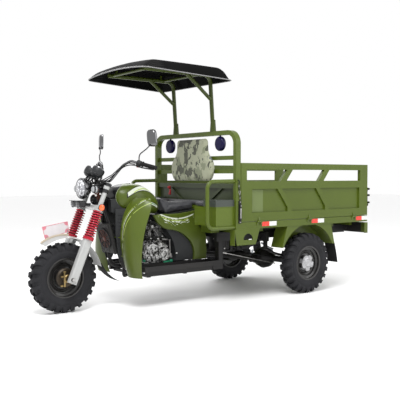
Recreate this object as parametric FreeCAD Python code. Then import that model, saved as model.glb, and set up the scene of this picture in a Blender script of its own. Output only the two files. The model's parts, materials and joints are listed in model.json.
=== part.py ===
import FreeCAD, Part
import math
import os

# Open cargo tricycle: one steered front wheel, a rider's seat under a canopy, and a
# drop-sided load bed over a leaf-sprung rear axle. Millimetres. +Z is up, +Y points
# to the rear and +X to the rider's left. Lengthwise places are measured from the
# front axle, and the last step moves the origin to the middle of the footprint.

# Wheels and stance
WHEELBASE = 2278.0
REAR_TRACK = 1130.0
TYRE_OD = 575.0
TYRE_WIDTH = 130.0
BEAD_R = 156.0
BEAD_WIDTH = 98.0
RIM_FLANGE_H = 9.0
RIM_WALL = 5.0
RIM_WELL_DEPTH = 18.0
DISC_T = 8.0
RIB_STEP = 6.0
FRONT_DISC_X = -6.0
COVER_R = 74.0
TYRE_SIDES = 48
LUG_HEIGHT = 15.0
LUG_COUNT = 24
LUG_WIDTH = 36.0
LUG_SKEW_DEG = 18.0
SEAT_GAP = 0.3
COPE_GAP = 0.6
SPIN_CLEARANCE = 0.05
SWING_GAP = 5.0

# Front fork, in a frame that leans back with the steering axis
RAKE_DEG = 23.0
AXLE_LEAD = 20.0
FORK_OFFSET = 45.0
LEG_X = 145.0
STANCHION_R = 20.0
SLIDER_W = 56.0
SLIDER_D = 74.0
SLIDER_TOP = 350.0
SLIDER_FOOT = 38.0
SPRING_TOP = 588.0
SPRING_MEAN_R = 38.0
SPRING_WIRE_R = 6.0
SPRING_TURNS = 11
YOKE_T = 24.0
UPPER_YOKE_S = 815.0
STEM_R = 14.0
HEAD_TUBE_R = 27.0
FRONT_AXLE_R = 8.0
FRONT_DRUM_R = 84.0
FRONT_DRUM_W = 84.0
BRAKE_PLATE_T = 12.0

# Handlebar and what it carries
BAR_R = 11.0
BAR_BEND_R = 55.0
GRIP_R = 16.0
GRIP_LENGTH = 125.0
BAR_END_X = 448.0
BAR_END_Y = 624.0
BAR_END_Z = 1190.0
MIRROR_X = 419.0
MIRROR_Y = 601.0
MIRROR_Z = 1438.0
MIRROR_W = 95.0
MIRROR_H = 145.0
MIRROR_D = 34.0
MIRROR_YAW_DEG = 20.0
STALK_LIFT = 2.2
HEADLAMP_R = 87.5
HEADLAMP_Y = 158.0
HEADLAMP_Z = 1019.0
HEADLAMP_DEPTH = 105.0
GAUGE_R = 53.0
GAUGE_DEPTH = 74.0
GAUGE_X = 59.0
GAUGE_Y = 280.0
GAUGE_Z = 1154.0
CABLE_R = 4.0
SIGNAL_X = 152.0
SIGNAL_Y = 216.0
SIGNAL_Z = 1014.0
SIGNAL_R = 27.0
EAR_X = 109.0
EAR_T = 6.0

# Front mudguard
GUARD_R = 343.0
GUARD_CROWN = 14.0
GUARD_HALF_W = 68.0
GUARD_T = 3.0
GUARD_FRONT_DEG = 34.0
GUARD_REAR_DEG = 78.0
FLAP_T = 4.0
FLAP_TIP_Y = 516.0
FLAP_TIP_Z = 213.0

# Frame tubes
TUBE_R = 16.0
DOWN_KNEE_X = 105.0
DOWN_KNEE_Y = 520.0
DOWN_KNEE_Z = 330.0
PIPE_R = 16.0
BACKBONE_R = 25.0
SIDE_RAIL_X = 300.0
SIDE_RAIL_W = 30.0
SIDE_RAIL_H = 40.0
SIDE_RAIL_Z = 270.0
SIDE_RAIL_Y0 = 620.0
UPRIGHT_Y = 1428.0
UPRIGHT_W = 50.0
BED_RAIL_X = 340.0
BED_RAIL_W = 40.0
BED_RAIL_H = 80.0
UPRIGHT_X = BED_RAIL_X - BED_RAIL_W / 2 - UPRIGHT_W / 2
BED_RAIL_TOP = 610.0

# Load bed
BED_HALF_W = 626.0
BED_REAR = 3151.0
BED_BOTTOM = 655.0
BED_SEAM = 715.0
FLOOR_T = 6.0
EDGE_RAIL_W = 40.0
BOARD_T = 35.0
BOARD_FRONT = 1406.0
BOARD_TOP = 1239.0
WINDOW_TOP = 1182.0
WINDOW_BOTTOM = 1077.0
WINDOW_FRONT = 1473.0
WINDOW_REAR = 3035.0
BRACE_W = 72.0
BRACE_LEAN = 84.0
PANEL_TOP = 1007.0
PANEL_BOTTOM = 796.0
PANEL_FRONT = 1537.0
PANEL_REAR = 3020.0
PANEL_DEPTH = 18.0
INNER_PRESS = 8.0
HINGE_OUT = 12.0
KNUCKLE_R = 8.0
HINGE_PIN_R = 4.0
HINGE_W = 60.0
TAILGATE_TOP = 1070.0
TAILGATE_T = 30.0

# Headboard, seat box and what stands on them
HOOP_FRONT = 1346.0
HOOP_REAR = 1400.0
HOOP_TUBE_W = 40.0
HOOP_TOP = 1529.0
HOOP_CORNER_R = 120.0
SLAT_H = 37.0
SLAT_T = 20.0
SLAT_TOP_Z = 1286.0
SLAT_LOW_Z = 1165.0
HEAD_PANEL_TOP = 1055.0
LAMP_X = 384.0
LAMP_Y = 1368.0
LAMP_Z = 1414.0
LAMP_H = 132.0
LAMP_W = 119.0
LAMP_D = 50.0
BACKREST_T = 62.0
SADDLE_HALF_W = 128.0
SADDLE_BASE = ((963.0, 784.0), (1266.0, 822.0))
BOX_HALF_W = 600.0
BOX_FRONT = 1140.0
BOX_BOTTOM = 690.0
BOX_TOP = 855.0
LID_T = 60.0
SADDLE_NOTCH_X = 300.0
SADDLE_NOTCH_Y = 1284.0
CUSHION_T = 54.0
LID_W = 170.0
ARM_X = BED_HALF_W - 26
ARM_TUBE_R = 17.0
ARM_FRONT = 1046.0
ARM_TOP = 1079.0
ARM_BOTTOM = 692.0
ARM_BEND_R = 65.0

# Canopy
ROOF_FRONT = 500.0
ROOF_REAR = 1385.0
ROOF_HALF_W_FRONT = 505.0
ROOF_HALF_W_REAR = 545.0
ROOF_RIM_FRONT = 2005.0
ROOF_RIM_REAR = 1966.0
ROOF_WALL_H = 95.0
ROOF_DOME_H = 30.0
ROOF_ARCH_H = 42.0
ROOF_WALL = 6.0
POST_X = 286.0
POST_R = 19.0
POST_FOOT_Y = 1363.0
POST_HEAD_Y = 1327.0
ROOF_RAIL_Z = 2032.0
ROOF_BAR_R = 12.0
ROOF_BRACE_R = 16.0
BRACE_FOOT_Z = 1813.0
BRACE_HEAD_Y = 1055.0

# Rider's platform
SHROUD_X = 58.0
SHROUD_W = 46.0
SHIELD_INNER_X = 140.0
SHIELD_OUTER_X = 380.0
SHIELD_T = 6.0
SHIELD_STAYS = ((440.0, 488.0), (600.0, 467.0))
STAY_R = 5.0
COVER_X = 150.0
COVER_T = 26.0
FOOTBOARD_INNER_X = 175.0
FOOTBOARD_OUTER_X = 345.0
FOOTBOARD_FRONT = 585.0
FOOTBOARD_REAR = 1385.0
FOOTBOARD_Z = 310.0
FOOTBOARD_H = 46.0

# Engine
RADIATOR_D = 32.0
RADIATOR_LIFT = 150.0
RADIATOR_HALF_W = 98.0
RADIATOR_H = 262.0
CYLINDER_LEAN_DEG = 12.0
CYLINDER_Y = 838.0
CYLINDER_Z = 520.0
HEAD_D = 120.0

# Rear axle, springs and mudguards
REAR_SPINDLE_R = 20.0
REAR_TUBE_R = 32.0
REAR_DRUM_R = 92.0
AXLE_NOSE = 144.0
LEAF_X = 410.0
LEAF_W = 50.0
LEAF_T = 8.0
LEAF_COUNT = 4
LEAF_SPAN = 760.0
LEAF_CAMBER = 80.0
ARCH_R = 378.0
GUARD_PLATE_X = 620.0
GUARD_INNER_X = 470.0
GUARD_SHEET = 4.0

AXLE_Z = TYRE_OD / 2
REAR_HINGE_Y = BED_REAR + HINGE_OUT
SIDE_HINGE_X = BED_HALF_W + HINGE_OUT
ORIGIN_Y = (REAR_HINGE_Y + KNUCKLE_R - TYRE_OD / 2) / 2

RAKE = math.radians(RAKE_DEG)


def vec(x, y, z):
    return FreeCAD.Vector(x, y, z)


X_AXIS = vec(1, 0, 0)
Y_AXIS = vec(0, 1, 0)
Z_AXIS = vec(0, 0, 1)
ZERO = vec(0, 0, 0)


def box(x0, x1, y0, y1, z0, z1):
    return Part.makeBox(x1 - x0, y1 - y0, z1 - z0, vec(x0, y0, z0))


def rod(start, end, radius):
    return Part.makeCylinder(radius, (end - start).Length, start, end - start)


def fuse(shapes):
    whole = shapes[0].multiFuse(shapes[1:]) if len(shapes) > 1 else shapes[0]
    return whole.removeSplitter()


def cut(shape, tools):
    return shape.cut(tools).removeSplitter()


def mirrored(shape):
    """The same piece on the other side of the vehicle's middle plane."""
    return shape.mirror(ZERO, X_AXIS)


def pair(shape):
    """Left and right pieces that share a node and don't touch."""
    return Part.makeCompound([shape, mirrored(shape)])


def prism(points, direction):
    """A closed outline of straight sides, drawn out along a direction."""
    return Part.Face(Part.makePolygon(points + points[:1])).extrude(direction)


def side_prism(outline, x0, x1):
    """An outline of (y, z) points, drawn out across the vehicle."""
    return prism([vec(x0, y, z) for y, z in outline], vec(x1 - x0, 0, 0))


def curved_face(x, curves):
    """A face on the plane x, bounded by lines, arcs and longer splines of (y, z) points."""
    edges = []
    for curve in curves:
        points = [vec(x, y, z) for y, z in curve]
        if len(points) == 2:
            edges.append(Part.makeLine(*points))
        elif len(points) == 3:
            edges.append(Part.Arc(*points).toShape())
        else:
            spline = Part.BSplineCurve()
            spline.interpolate(points)
            edges.append(spline.toShape())
    return Part.Face(Part.Wire(edges))


def spun(profile, degrees=360.0, start=0.0):
    """A profile of (x, r) points turned round the X axis, from straight up."""
    face = Part.Face(Part.makePolygon([vec(x, 0, r) for x, r in profile + profile[:1]]))
    solid = face.revolve(ZERO, X_AXIS, degrees)
    solid.rotate(ZERO, X_AXIS, start)
    return solid


def path_wire(points, bend_r):
    """Straight runs joined by tangent arcs of one radius."""
    edges = []
    start = points[0]
    for before, corner, after in zip(points, points[1:], points[2:]):
        into = (corner - before).normalize()
        out = (after - corner).normalize()
        turn = into.getAngle(out)
        setback = bend_r * math.tan(turn / 2)
        arc_in = corner - into * setback
        arc_out = corner + out * setback
        middle = (out - into).normalize()
        centre = corner + middle * (bend_r / math.cos(turn / 2))
        arc_mid = centre - middle * bend_r
        if (arc_in - start).Length > 1e-6:
            edges.append(Part.makeLine(start, arc_in))
        edges.append(Part.Arc(arc_in, arc_mid, arc_out).toShape())
        start = arc_out
    edges.append(Part.makeLine(start, points[-1]))
    return Part.Wire(edges)


def swept(profile, path):
    return path.makePipeShell([profile], True, False)


def bent_tube(points, radius, bend_r):
    run = (points[1] - points[0]).normalize()
    circle = Part.Wire(Part.makeCircle(radius, points[0], run))
    return swept(circle, path_wire(points, bend_r))


def rounded_box(x0, x1, y0, y1, z0, z1, radius):
    block = box(x0, x1, y0, y1, z0, z1)
    return block.makeFillet(radius, block.Edges)


def loft(wires):
    return Part.makeLoft(wires, True, False)


# Steering geometry

def on_fork(shape):
    """Lean a piece drawn upright at the fork legs back by the rake."""
    moved = shape.copy()
    moved.rotate(ZERO, X_AXIS, -RAKE_DEG)
    moved.translate(vec(0, AXLE_LEAD, AXLE_Z))
    return moved


def fork_point(x, back, along):
    """Where a point of the upright fork drawing ends up."""
    y = AXLE_LEAD + back * math.cos(RAKE) + along * math.sin(RAKE)
    return vec(x, y, AXLE_Z - back * math.sin(RAKE) + along * math.cos(RAKE))


# Wheels, drawn round the X axis

def faceted_ring(profile, sides):
    """A closed (x, r) profile carried round the X axis in flat steps."""
    rings = []
    for i in range(sides):
        angle = 2 * math.pi * (i + 0.5) / sides
        rings.append([vec(x, r * math.sin(angle), r * math.cos(angle)) for x, r in profile])
    faces = []
    count = len(profile)
    for here, there in zip(rings, rings[1:] + rings[:1]):
        for i in range(count):
            j = (i + 1) % count
            corners = [here[i], here[j], there[j], there[i], here[i]]
            faces.append(Part.Face(Part.makePolygon(corners)))
    solid = Part.makeSolid(Part.makeShell(faces))
    if solid.Volume < 0:
        solid.reverse()
    return solid


def tread_lugs():
    """Flat-topped skewed blocks, staggered between the two shoulders."""
    half = TYRE_WIDTH / 2
    top = TYRE_OD / 2
    root = top - LUG_HEIGHT - 5
    profile = [(4, root), (4, top + 1), (half - 16, top + 1), (half - 1, top - 20),
               (half + 1, top - 50), (half - 12, top - 54), (half - 20, root)]
    pitch = 360.0 / LUG_COUNT
    rolling = top / math.cos(math.pi / TYRE_SIDES)
    envelope = faceted_ring([(-half - 5, BEAD_R), (-half - 5, rolling), (half + 5, rolling),
                             (half + 5, BEAD_R)], TYRE_SIDES)
    lugs = []
    for side, shift in ((1, 0.0), (-1, 0.5)):
        points = [vec(side * x, -LUG_WIDTH / 2, r) for x, r in profile]
        block = prism(points, vec(0, LUG_WIDTH, 0))
        block.rotate(vec(side * half / 2, 0, 0), Z_AXIS, side * LUG_SKEW_DEG)
        block = block.common(envelope)
        for i in range(LUG_COUNT):
            turned = block.copy()
            turned.rotate(ZERO, X_AXIS, (i + shift) * pitch)
            lugs.append(turned)
    return lugs


def tyre():
    """Carcass with round shoulders in flat steps, and the lugs that stand on it."""
    half = TYRE_WIDTH / 2
    bead = BEAD_WIDTH / 2
    crown = TYRE_OD / 2 - LUG_HEIGHT
    seat = (BEAD_R + SEAT_GAP) / math.cos(math.pi / TYRE_SIDES)
    right = [(bead, seat), (bead, BEAD_R + RIM_FLANGE_H + 4), (half - 2, BEAD_R + 38),
             (half, BEAD_R + 62), (half - 12, crown - 12), (28, crown)]
    profile = right + [(-x, r) for x, r in right[::-1]]
    return faceted_ring(profile, TYRE_SIDES).multiFuse(tread_lugs())


def rim_profile(disc_x, hub_in, hub_out):
    """Flanged barrel with a well and a ribbed disc, closed by the hub's own (x, r) points."""
    seat = BEAD_WIDTH / 2 + SEAT_GAP
    edge = seat + RIM_WALL
    flange = BEAD_R + RIM_FLANGE_H
    well = BEAD_R - RIM_WELL_DEPTH
    skin = BEAD_R - RIM_WALL
    face = disc_x + DISC_T
    half = [(edge, BEAD_R), (edge, flange), (seat, flange), (seat, BEAD_R), (25, BEAD_R), (18, well)]
    inside = [(disc_x, well - RIM_WALL), (-18, well - RIM_WALL), (-27, skin), (-seat, skin)]
    outside = [(seat, skin), (27, skin), (18, well - RIM_WALL), (face, well - RIM_WALL)]
    ribs = [(face, 122), (face + RIB_STEP, 114), (face, 104), (face + RIB_STEP, 98), (face, 92)]
    barrel = [(-x, r) for x, r in half] + half[::-1]
    return hub_in + inside + barrel + outside + ribs + hub_out


def front_wheel_rim():
    """Rim, disc and the brake drum that is cast with the hub."""
    drum = FRONT_DRUM_W / 2
    hub_half = LEG_X - SLIDER_W / 2 - SWING_GAP
    bore = FRONT_AXLE_R + SPIN_CLEARANCE
    inner = [(drum, bore), (-hub_half, bore), (-hub_half, 24), (-drum - 8, 30), (-drum, 60),
             (-drum, FRONT_DRUM_R), (FRONT_DISC_X, FRONT_DRUM_R)]
    outer = [(FRONT_DISC_X + DISC_T, FRONT_DRUM_R), (drum, FRONT_DRUM_R)]
    whole = spun(rim_profile(FRONT_DISC_X, inner, outer))
    whole.translate(vec(0, 0, AXLE_Z))
    return whole


def rear_rim(side):
    """Rim, ribbed disc, brake drum and the five-lobed hub cover of one rear wheel."""
    bore = REAR_SPINDLE_R + SPIN_CLEARANCE
    disc = 2.0
    inner = [(30, 0), (30, bore), (-64, bore), (-64, REAR_DRUM_R), (disc, REAR_DRUM_R)]
    outer = [(disc + DISC_T, COVER_R), (38, COVER_R - 8), (46, 40), (52, 34), (52, 0)]
    lobes = []
    for i in range(5):
        angle = 2 * math.pi * (i + 0.5) / 5
        foot = vec(disc + 4, 60 * math.sin(angle), 60 * math.cos(angle))
        lobes.append(Part.makeCylinder(28, 38, foot, X_AXIS))
    whole = spun(rim_profile(disc, inner, outer)).multiFuse(lobes)
    if side < 0:
        whole = mirrored(whole)
    whole.translate(vec(side * REAR_TRACK / 2, WHEELBASE, AXLE_Z))
    return whole


def rear_tyre(side, rubber):
    moved = rubber.copy()
    if side < 0:
        moved = mirrored(moved)
    moved.translate(vec(side * REAR_TRACK / 2, WHEELBASE, AXLE_Z))
    return moved


# Fork and steering head

def slider(side):
    """Flat lower leg with a rounded foot, a spring seat and the bright tube above it."""
    x = side * LEG_X
    leg = box(x - SLIDER_W / 2, x + SLIDER_W / 2, -SLIDER_D / 2, SLIDER_D / 2,
              -SLIDER_FOOT, SLIDER_TOP)
    upright = [e for e in leg.Edges if abs(e.tangentAt(e.FirstParameter).z) > 0.9]
    leg = leg.makeFillet(16, upright)
    seat = Part.makeCylinder(SPRING_MEAN_R + 6, 12, vec(x, 0, SLIDER_TOP - 4))
    tube = Part.makeCylinder(STANCHION_R, UPPER_YOKE_S + YOKE_T + 8 - SLIDER_TOP,
                             vec(x, 0, SLIDER_TOP))
    cup = Part.makeCone(SPRING_MEAN_R + 7, STANCHION_R + 6, 22, vec(x, 0, SPRING_TOP + 2))
    whole = fuse([leg, seat, tube, cup])
    lean = math.sin(RAKE) * AXLE_LEAD
    bore = Part.makeCylinder(FRONT_AXLE_R + SPIN_CLEARANCE, SLIDER_W + 4,
                             vec(x - SLIDER_W / 2 - 2, 0, 0), X_AXIS)
    bore.rotate(ZERO, X_AXIS, RAKE_DEG)
    bore.translate(vec(0, -AXLE_LEAD * math.cos(RAKE), -lean))
    return on_fork(whole.cut(bore))


def fork_legs():
    return Part.makeCompound([slider(1), slider(-1)])


def fork_spring(side):
    """Open coil of square wire round the bright tube."""
    half_wire = SPRING_WIRE_R * math.sqrt(0.5)
    start = SLIDER_TOP + 8 + half_wire + SEAT_GAP
    height = SPRING_TOP + 2 - half_wire - SEAT_GAP - start
    helix = Part.makeHelix(height / SPRING_TURNS, height, SPRING_MEAN_R)
    section = []
    for i in range(4):
        angle = math.radians(90 * i + 45)
        section.append(vec(SPRING_MEAN_R + SPRING_WIRE_R * math.cos(angle), 0,
                           SPRING_WIRE_R * math.sin(angle)))
    wire = Part.makePolygon(section + section[:1])
    coil = Part.Wire(helix).makePipeShell([wire], True, True)
    coil.translate(vec(side * LEG_X, 0, start))
    return on_fork(coil)


def yoke(low, rear_reach):
    """Plate that clamps both legs and the steering stem."""
    outline = [vec(-LEG_X - 30, -26, low), vec(LEG_X + 30, -26, low),
               vec(LEG_X + 30, 24, low), vec(36, rear_reach, low),
               vec(-36, rear_reach, low), vec(-LEG_X - 30, 24, low)]
    plate = prism(outline, vec(0, 0, YOKE_T))
    upright = [e for e in plate.Edges if abs(e.tangentAt(e.FirstParameter).z) > 0.9]
    plate = plate.makeFillet(14, upright)
    holes = [Part.makeCylinder(STANCHION_R + SEAT_GAP, YOKE_T, vec(s * LEG_X, 0, low))
             for s in (1, -1)]
    return plate.cut(holes)


LOWER_YOKE_S = SPRING_TOP + 25
HEAD_LOW_S = LOWER_YOKE_S + YOKE_T + SWING_GAP
HEAD_HIGH_S = UPPER_YOKE_S - SWING_GAP


def fork_yokes():
    stem = Part.makeCylinder(STEM_R, UPPER_YOKE_S - LOWER_YOKE_S,
                             vec(0, FORK_OFFSET, LOWER_YOKE_S))
    risers = []
    for side in (1, -1):
        foot = vec(side * 42, FORK_OFFSET, UPPER_YOKE_S + YOKE_T - 2)
        risers.append(Part.makeCylinder(14, 30, foot))
    parts = [yoke(LOWER_YOKE_S, FORK_OFFSET + 20), yoke(UPPER_YOKE_S, FORK_OFFSET + 20), stem]
    return on_fork(fuse(parts + risers))


BAR_CLAMP = fork_point(0, FORK_OFFSET, UPPER_YOKE_S + YOKE_T + 28 + BAR_R)


def bar_points(side):
    """Handlebar route from the clamp to one end."""
    y, z = BAR_CLAMP.y, BAR_CLAMP.z
    return [vec(side * 78, y, z), vec(side * 175, y + 70, z + 135),
            vec(side * 262, y + 92, z + 172), vec(side * BAR_END_X, BAR_END_Y, BAR_END_Z)]


def handlebar():
    left = bar_points(1)
    right = bar_points(-1)
    return bent_tube(left[::-1] + right, BAR_R, BAR_BEND_R)


def grip_axis(side):
    """Unit vector along one grip, outwards."""
    points = bar_points(side)
    return (points[-1] - points[-2]).normalize()


def grip_and_lever(side):
    """Rubber grip, lever perch and lever of one hand, as one moulding round the bar."""
    out = grip_axis(side)
    end = bar_points(side)[-1] + out * 4
    start = end - out * GRIP_LENGTH
    perch = start - out * 34
    ahead = vec(0, -1, -0.35).normalize()
    grip = rod(start, end, GRIP_R)
    body = rod(perch, start, GRIP_R + 5)
    arm = rod(perch + out * 17, perch + out * 17 + ahead * 44, 10)
    pivot = perch + out * 17 + ahead * 44
    lever = bent_tube([pivot, pivot + out * 55 + ahead * 12, pivot + out * 150 - ahead * 8],
                      5.5, 60)
    whole = fuse([grip, body, arm, lever])
    return whole.cut(rod(perch - out * 30, end - out * 4, BAR_R + SEAT_GAP))


def grips():
    return Part.makeCompound([grip_and_lever(1), grip_and_lever(-1)])


def mirror(side):
    """Upright oval mirror on a cranked stalk that stands on the lever perch."""
    out = grip_axis(side)
    foot = bar_points(side)[-1] - out * (GRIP_LENGTH + 13) + vec(0, 0, GRIP_R + 5 + STALK_LIFT)
    centre = vec(side * MIRROR_X, MIRROR_Y, MIRROR_Z)
    neck = centre + vec(-side * 12, -MIRROR_D / 2 + 6, -MIRROR_H / 2 + 12)
    stalk = bent_tube([foot, foot + vec(side * 10, -8, 60), neck], 5, 40)
    case = Part.makeCylinder(MIRROR_H / 2, MIRROR_D, centre - Y_AXIS * (MIRROR_D / 2), Y_AXIS)
    case = case.makeFillet(12, [case.Edges[0], case.Edges[2]])
    squeeze = FreeCAD.Matrix()
    squeeze.scale(MIRROR_W / MIRROR_H, 1, 1)
    case.translate(-centre)
    case = case.transformGeometry(squeeze)
    case.rotate(ZERO, Z_AXIS, side * MIRROR_YAW_DEG)
    case.translate(centre)
    return fuse([stalk, case])


def mirrors():
    left = mirror(1)
    return Part.makeCompound([left, mirrored(left)])


def headlamp():
    """Round lamp: domed lens, bezel and a tapering bowl, on ears from the fork tubes."""
    r = HEADLAMP_R
    bowl = [(0, 0), (0, 40), (8, r - 12), (20, r - 4), (26, r), (40, r), (48, r - 8),
            (HEADLAMP_DEPTH - 30, 60), (HEADLAMP_DEPTH, 26), (HEADLAMP_DEPTH, 0)]
    lamp = spun(bowl)
    lamp.rotate(ZERO, Z_AXIS, 90)
    lamp.translate(vec(0, HEADLAMP_Y, HEADLAMP_Z))
    ears = []
    for side in (1, -1):
        inner = side * EAR_X
        ring = fork_point(side * LEG_X, 0, UPPER_YOKE_S - 60)
        collar = rod(ring, fork_point(side * LEG_X, 0, UPPER_YOKE_S - 25), STANCHION_R + 5)
        bore = rod(fork_point(side * LEG_X, 0, UPPER_YOKE_S - 90),
                   fork_point(side * LEG_X, 0, UPPER_YOKE_S), STANCHION_R + SEAT_GAP)
        arm = side_prism([(HEADLAMP_Y + 50, HEADLAMP_Z - 14), (HEADLAMP_Y + 50, HEADLAMP_Z + 14),
                          (ring.y - 8, ring.z + 30), (ring.y - 12, ring.z)],
                         min(inner, inner + side * EAR_T), max(inner, inner + side * EAR_T))
        bridge = box(min(side * 50, inner + side * EAR_T), max(side * 50, inner + side * EAR_T),
                     HEADLAMP_Y + 52, HEADLAMP_Y + 66, HEADLAMP_Z - 10, HEADLAMP_Z + 10)
        tab = box(min(inner, side * LEG_X), max(inner, side * LEG_X), ring.y - 24, ring.y - 8,
                  ring.z + 2, ring.z + 26)
        ears.append(fuse([collar, arm, bridge, tab]).cut(bore))
    return fuse([lamp] + ears)


def gauges():
    """Twin round dials in deep cups, tipped to the rider, on one bracket."""
    cups = []
    tip = 38.0
    for side in (1, -1):
        cup = spun([(0, 0), (0, 30), (12, GAUGE_R - 4), (GAUGE_DEPTH - 8, GAUGE_R),
                    (GAUGE_DEPTH, GAUGE_R - 3), (GAUGE_DEPTH, 0)])
        cup.rotate(ZERO, Y_AXIS, -90)
        cup.rotate(ZERO, X_AXIS, -tip)
        cup.translate(vec(side * GAUGE_X, GAUGE_Y - 12, GAUGE_Z - 30))
        cups.append(cup)
    y, z = GAUGE_Y, GAUGE_Z
    top = fork_point(0, 20, UPPER_YOKE_S + YOKE_T + SEAT_GAP)
    plate = box(-70, 70, y - 20, y + 22, z - 46, z - 36)
    leg = side_prism([(y + 6, z - 44), (y + 22, z - 40), (top.y + 10, top.z - 12),
                      (top.y - 8, top.z - 4)], -24, 24)
    room = on_fork(box(-60, 60, -60, 90, UPPER_YOKE_S - 40, UPPER_YOKE_S + YOKE_T + SEAT_GAP))
    return fuse(cups + [plate, leg]).cut(room)


def turn_signal(side):
    """Small domed lamp on a stub from the headlamp's ear."""
    x = side * SIGNAL_X
    dome = spun([(0, 0), (0, SIGNAL_R - 8), (8, SIGNAL_R), (34, SIGNAL_R), (44, 14), (44, 0)])
    dome.rotate(ZERO, Z_AXIS, 90)
    dome.translate(vec(x, SIGNAL_Y - 22, SIGNAL_Z))
    arm_face = side * (EAR_X + EAR_T + SEAT_GAP)
    stub = rod(vec(arm_face, SIGNAL_Y, SIGNAL_Z), vec(x, SIGNAL_Y, SIGNAL_Z), 7)
    return fuse([dome, stub])


def lamp_pod():
    """Low twin-lens lamp bar in front of the lower yoke, with its stalk."""
    y = 148.0
    z = 890.0
    body = rounded_box(-88, 88, y - 32, y + 26, z - 27, z + 27, 14)
    front = fork_point(0, -26, LOWER_YOKE_S)
    stalk = box(-30, 30, y + 20, front.y + 24, z - 16, z + 6)
    yoke_face = on_fork(box(-60, 60, -26 - SEAT_GAP, 80, LOWER_YOKE_S - 60, LOWER_YOKE_S + 60))
    return fuse([body, stalk]).cut(yoke_face)


def front_axle():
    """Axle with end nuts, and the still brake plate with its lever."""
    reach = LEG_X + SLIDER_W / 2
    shaft = Part.makeCylinder(FRONT_AXLE_R, 2 * reach + 36, vec(-reach - 18, 0, 0), X_AXIS)
    nuts = [Part.makeCylinder(14, 12, vec(s * (reach + 7) - 6, 0, 0), X_AXIS) for s in (1, -1)]
    x = FRONT_DRUM_W / 2 + SWING_GAP
    plate = spun([(x, 0), (x, FRONT_DRUM_R - 2), (x + BRAKE_PLATE_T, FRONT_DRUM_R - 14),
                  (x + BRAKE_PLATE_T, 34), (x + BRAKE_PLATE_T + 10, 26),
                  (LEG_X - SLIDER_W / 2 - SEAT_GAP, 16), (LEG_X - SLIDER_W / 2 - SEAT_GAP, 0)])
    cam = Part.makeCylinder(9, 26, vec(x + BRAKE_PLATE_T - 4, 46, 30), X_AXIS)
    lever = prism([vec(x + BRAKE_PLATE_T + 14, 54, 22), vec(x + BRAKE_PLATE_T + 14, 38, 22),
                   vec(x + BRAKE_PLATE_T + 14, 34, 96), vec(x + BRAKE_PLATE_T + 14, 48, 96)],
                  vec(7, 0, 0))
    whole = fuse([shaft, plate, cam, lever] + nuts)
    whole.translate(vec(0, 0, AXLE_Z))
    return whole


def control_cables():
    """Cables from both levers to the lamp bowl, and the brake cable down to the hub."""
    pieces = []
    for side in (1, -1):
        bar = bar_points(side)
        out = grip_axis(side)
        perch = bar[-1] - out * (GRIP_LENGTH + 40)
        leave = vec(side * 30, 39, 17).normalize()
        bowl = vec(side * 37.2, HEADLAMP_Y + 90, HEADLAMP_Z + 21.5) + leave * SEAT_GAP
        route = [bowl, bowl + leave * 50, vec(side * 125, 288, 1080), vec(side * 140, 390, 1134),
                 bar[1] + vec(side * 8, -30, -16), bar[2] + vec(side * 6, -30, -18),
                 perch + vec(0, -27, -12)]
        pieces.append(bent_tube(route, CABLE_R, 40))
    top = LOWER_YOKE_S - SEAT_GAP
    hub = [vec(77, 44, AXLE_Z + 96 + CABLE_R), vec(87, 128, AXLE_Z + 144), fork_point(89, 70, 380),
           fork_point(60, 34, top - 60), fork_point(60, 34, top)]
    pieces.append(bent_tube(hub, CABLE_R, 60))
    return Part.makeCompound(pieces)


def front_mudguard():
    """Crowned sheet over the wheel, with the bridge that bolts to both sliders."""
    edge = GUARD_R - GUARD_CROWN
    inner = [vec(-GUARD_HALF_W, 0, edge), vec(0, 0, GUARD_R), vec(GUARD_HALF_W, 0, edge)]
    outer = [p + vec(0, 0, GUARD_T) for p in inner]
    section = Part.Face(Part.Wire([Part.Arc(*inner).toShape(),
                                   Part.makeLine(inner[2], outer[2]),
                                   Part.Arc(*outer[::-1]).toShape(),
                                   Part.makeLine(outer[0], inner[0])]))
    sheet = section.revolve(ZERO, X_AXIS, -(GUARD_FRONT_DEG + GUARD_REAR_DEG))
    sheet.rotate(ZERO, X_AXIS, GUARD_FRONT_DEG)
    sheet.translate(vec(0, 0, AXLE_Z))
    reach = LEG_X - SLIDER_W / 2 - SEAT_GAP
    low = SLIDER_TOP - 34
    strap = on_fork(box(-reach, reach, -18, 14, low, low + 5))
    hangers = []
    for side in (1, -1):
        x0, x1 = sorted((side * (GUARD_HALF_W - 6), side * reach))
        hangers.append(on_fork(box(x0, x1, -18, 14, low - 26, low + 4)))
    return fuse([sheet, strap] + hangers)


def flap_sheet(x0, x1, curve, thickness):
    """A rubber flap that follows an arc of (y, z) points."""
    back = [(y + thickness, z) for y, z in curve]
    face = curved_face(x0, [curve, (curve[-1], back[-1]), back[::-1], (back[0], curve[0])])
    return face.extrude(vec(x1 - x0, 0, 0))


def front_mud_flap():
    angle = math.radians(GUARD_REAR_DEG - 4)
    y = (GUARD_R + GUARD_T + SEAT_GAP) * math.sin(angle)
    z = AXLE_Z + (GUARD_R + GUARD_T + SEAT_GAP) * math.cos(angle)
    curve = [(y, z), (y + 54, z - 82), (FLAP_TIP_Y, FLAP_TIP_Z)]
    return flap_sheet(-52, 52, curve, FLAP_T)


# Frame

def spine_tube(radius):
    """The backbone's own run, or the room that other pieces leave for it."""
    start = fork_point(0, FORK_OFFSET, HEAD_HIGH_S - 70)
    return bent_tube([start, vec(0, start.y + 320, start.z - 150), vec(0, 1060, 690),
                      vec(0, UPRIGHT_Y, 600)], radius, 160)


def head_tube(radius):
    return rod(fork_point(0, FORK_OFFSET, HEAD_LOW_S), fork_point(0, FORK_OFFSET, HEAD_HIGH_S),
               radius)


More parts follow.
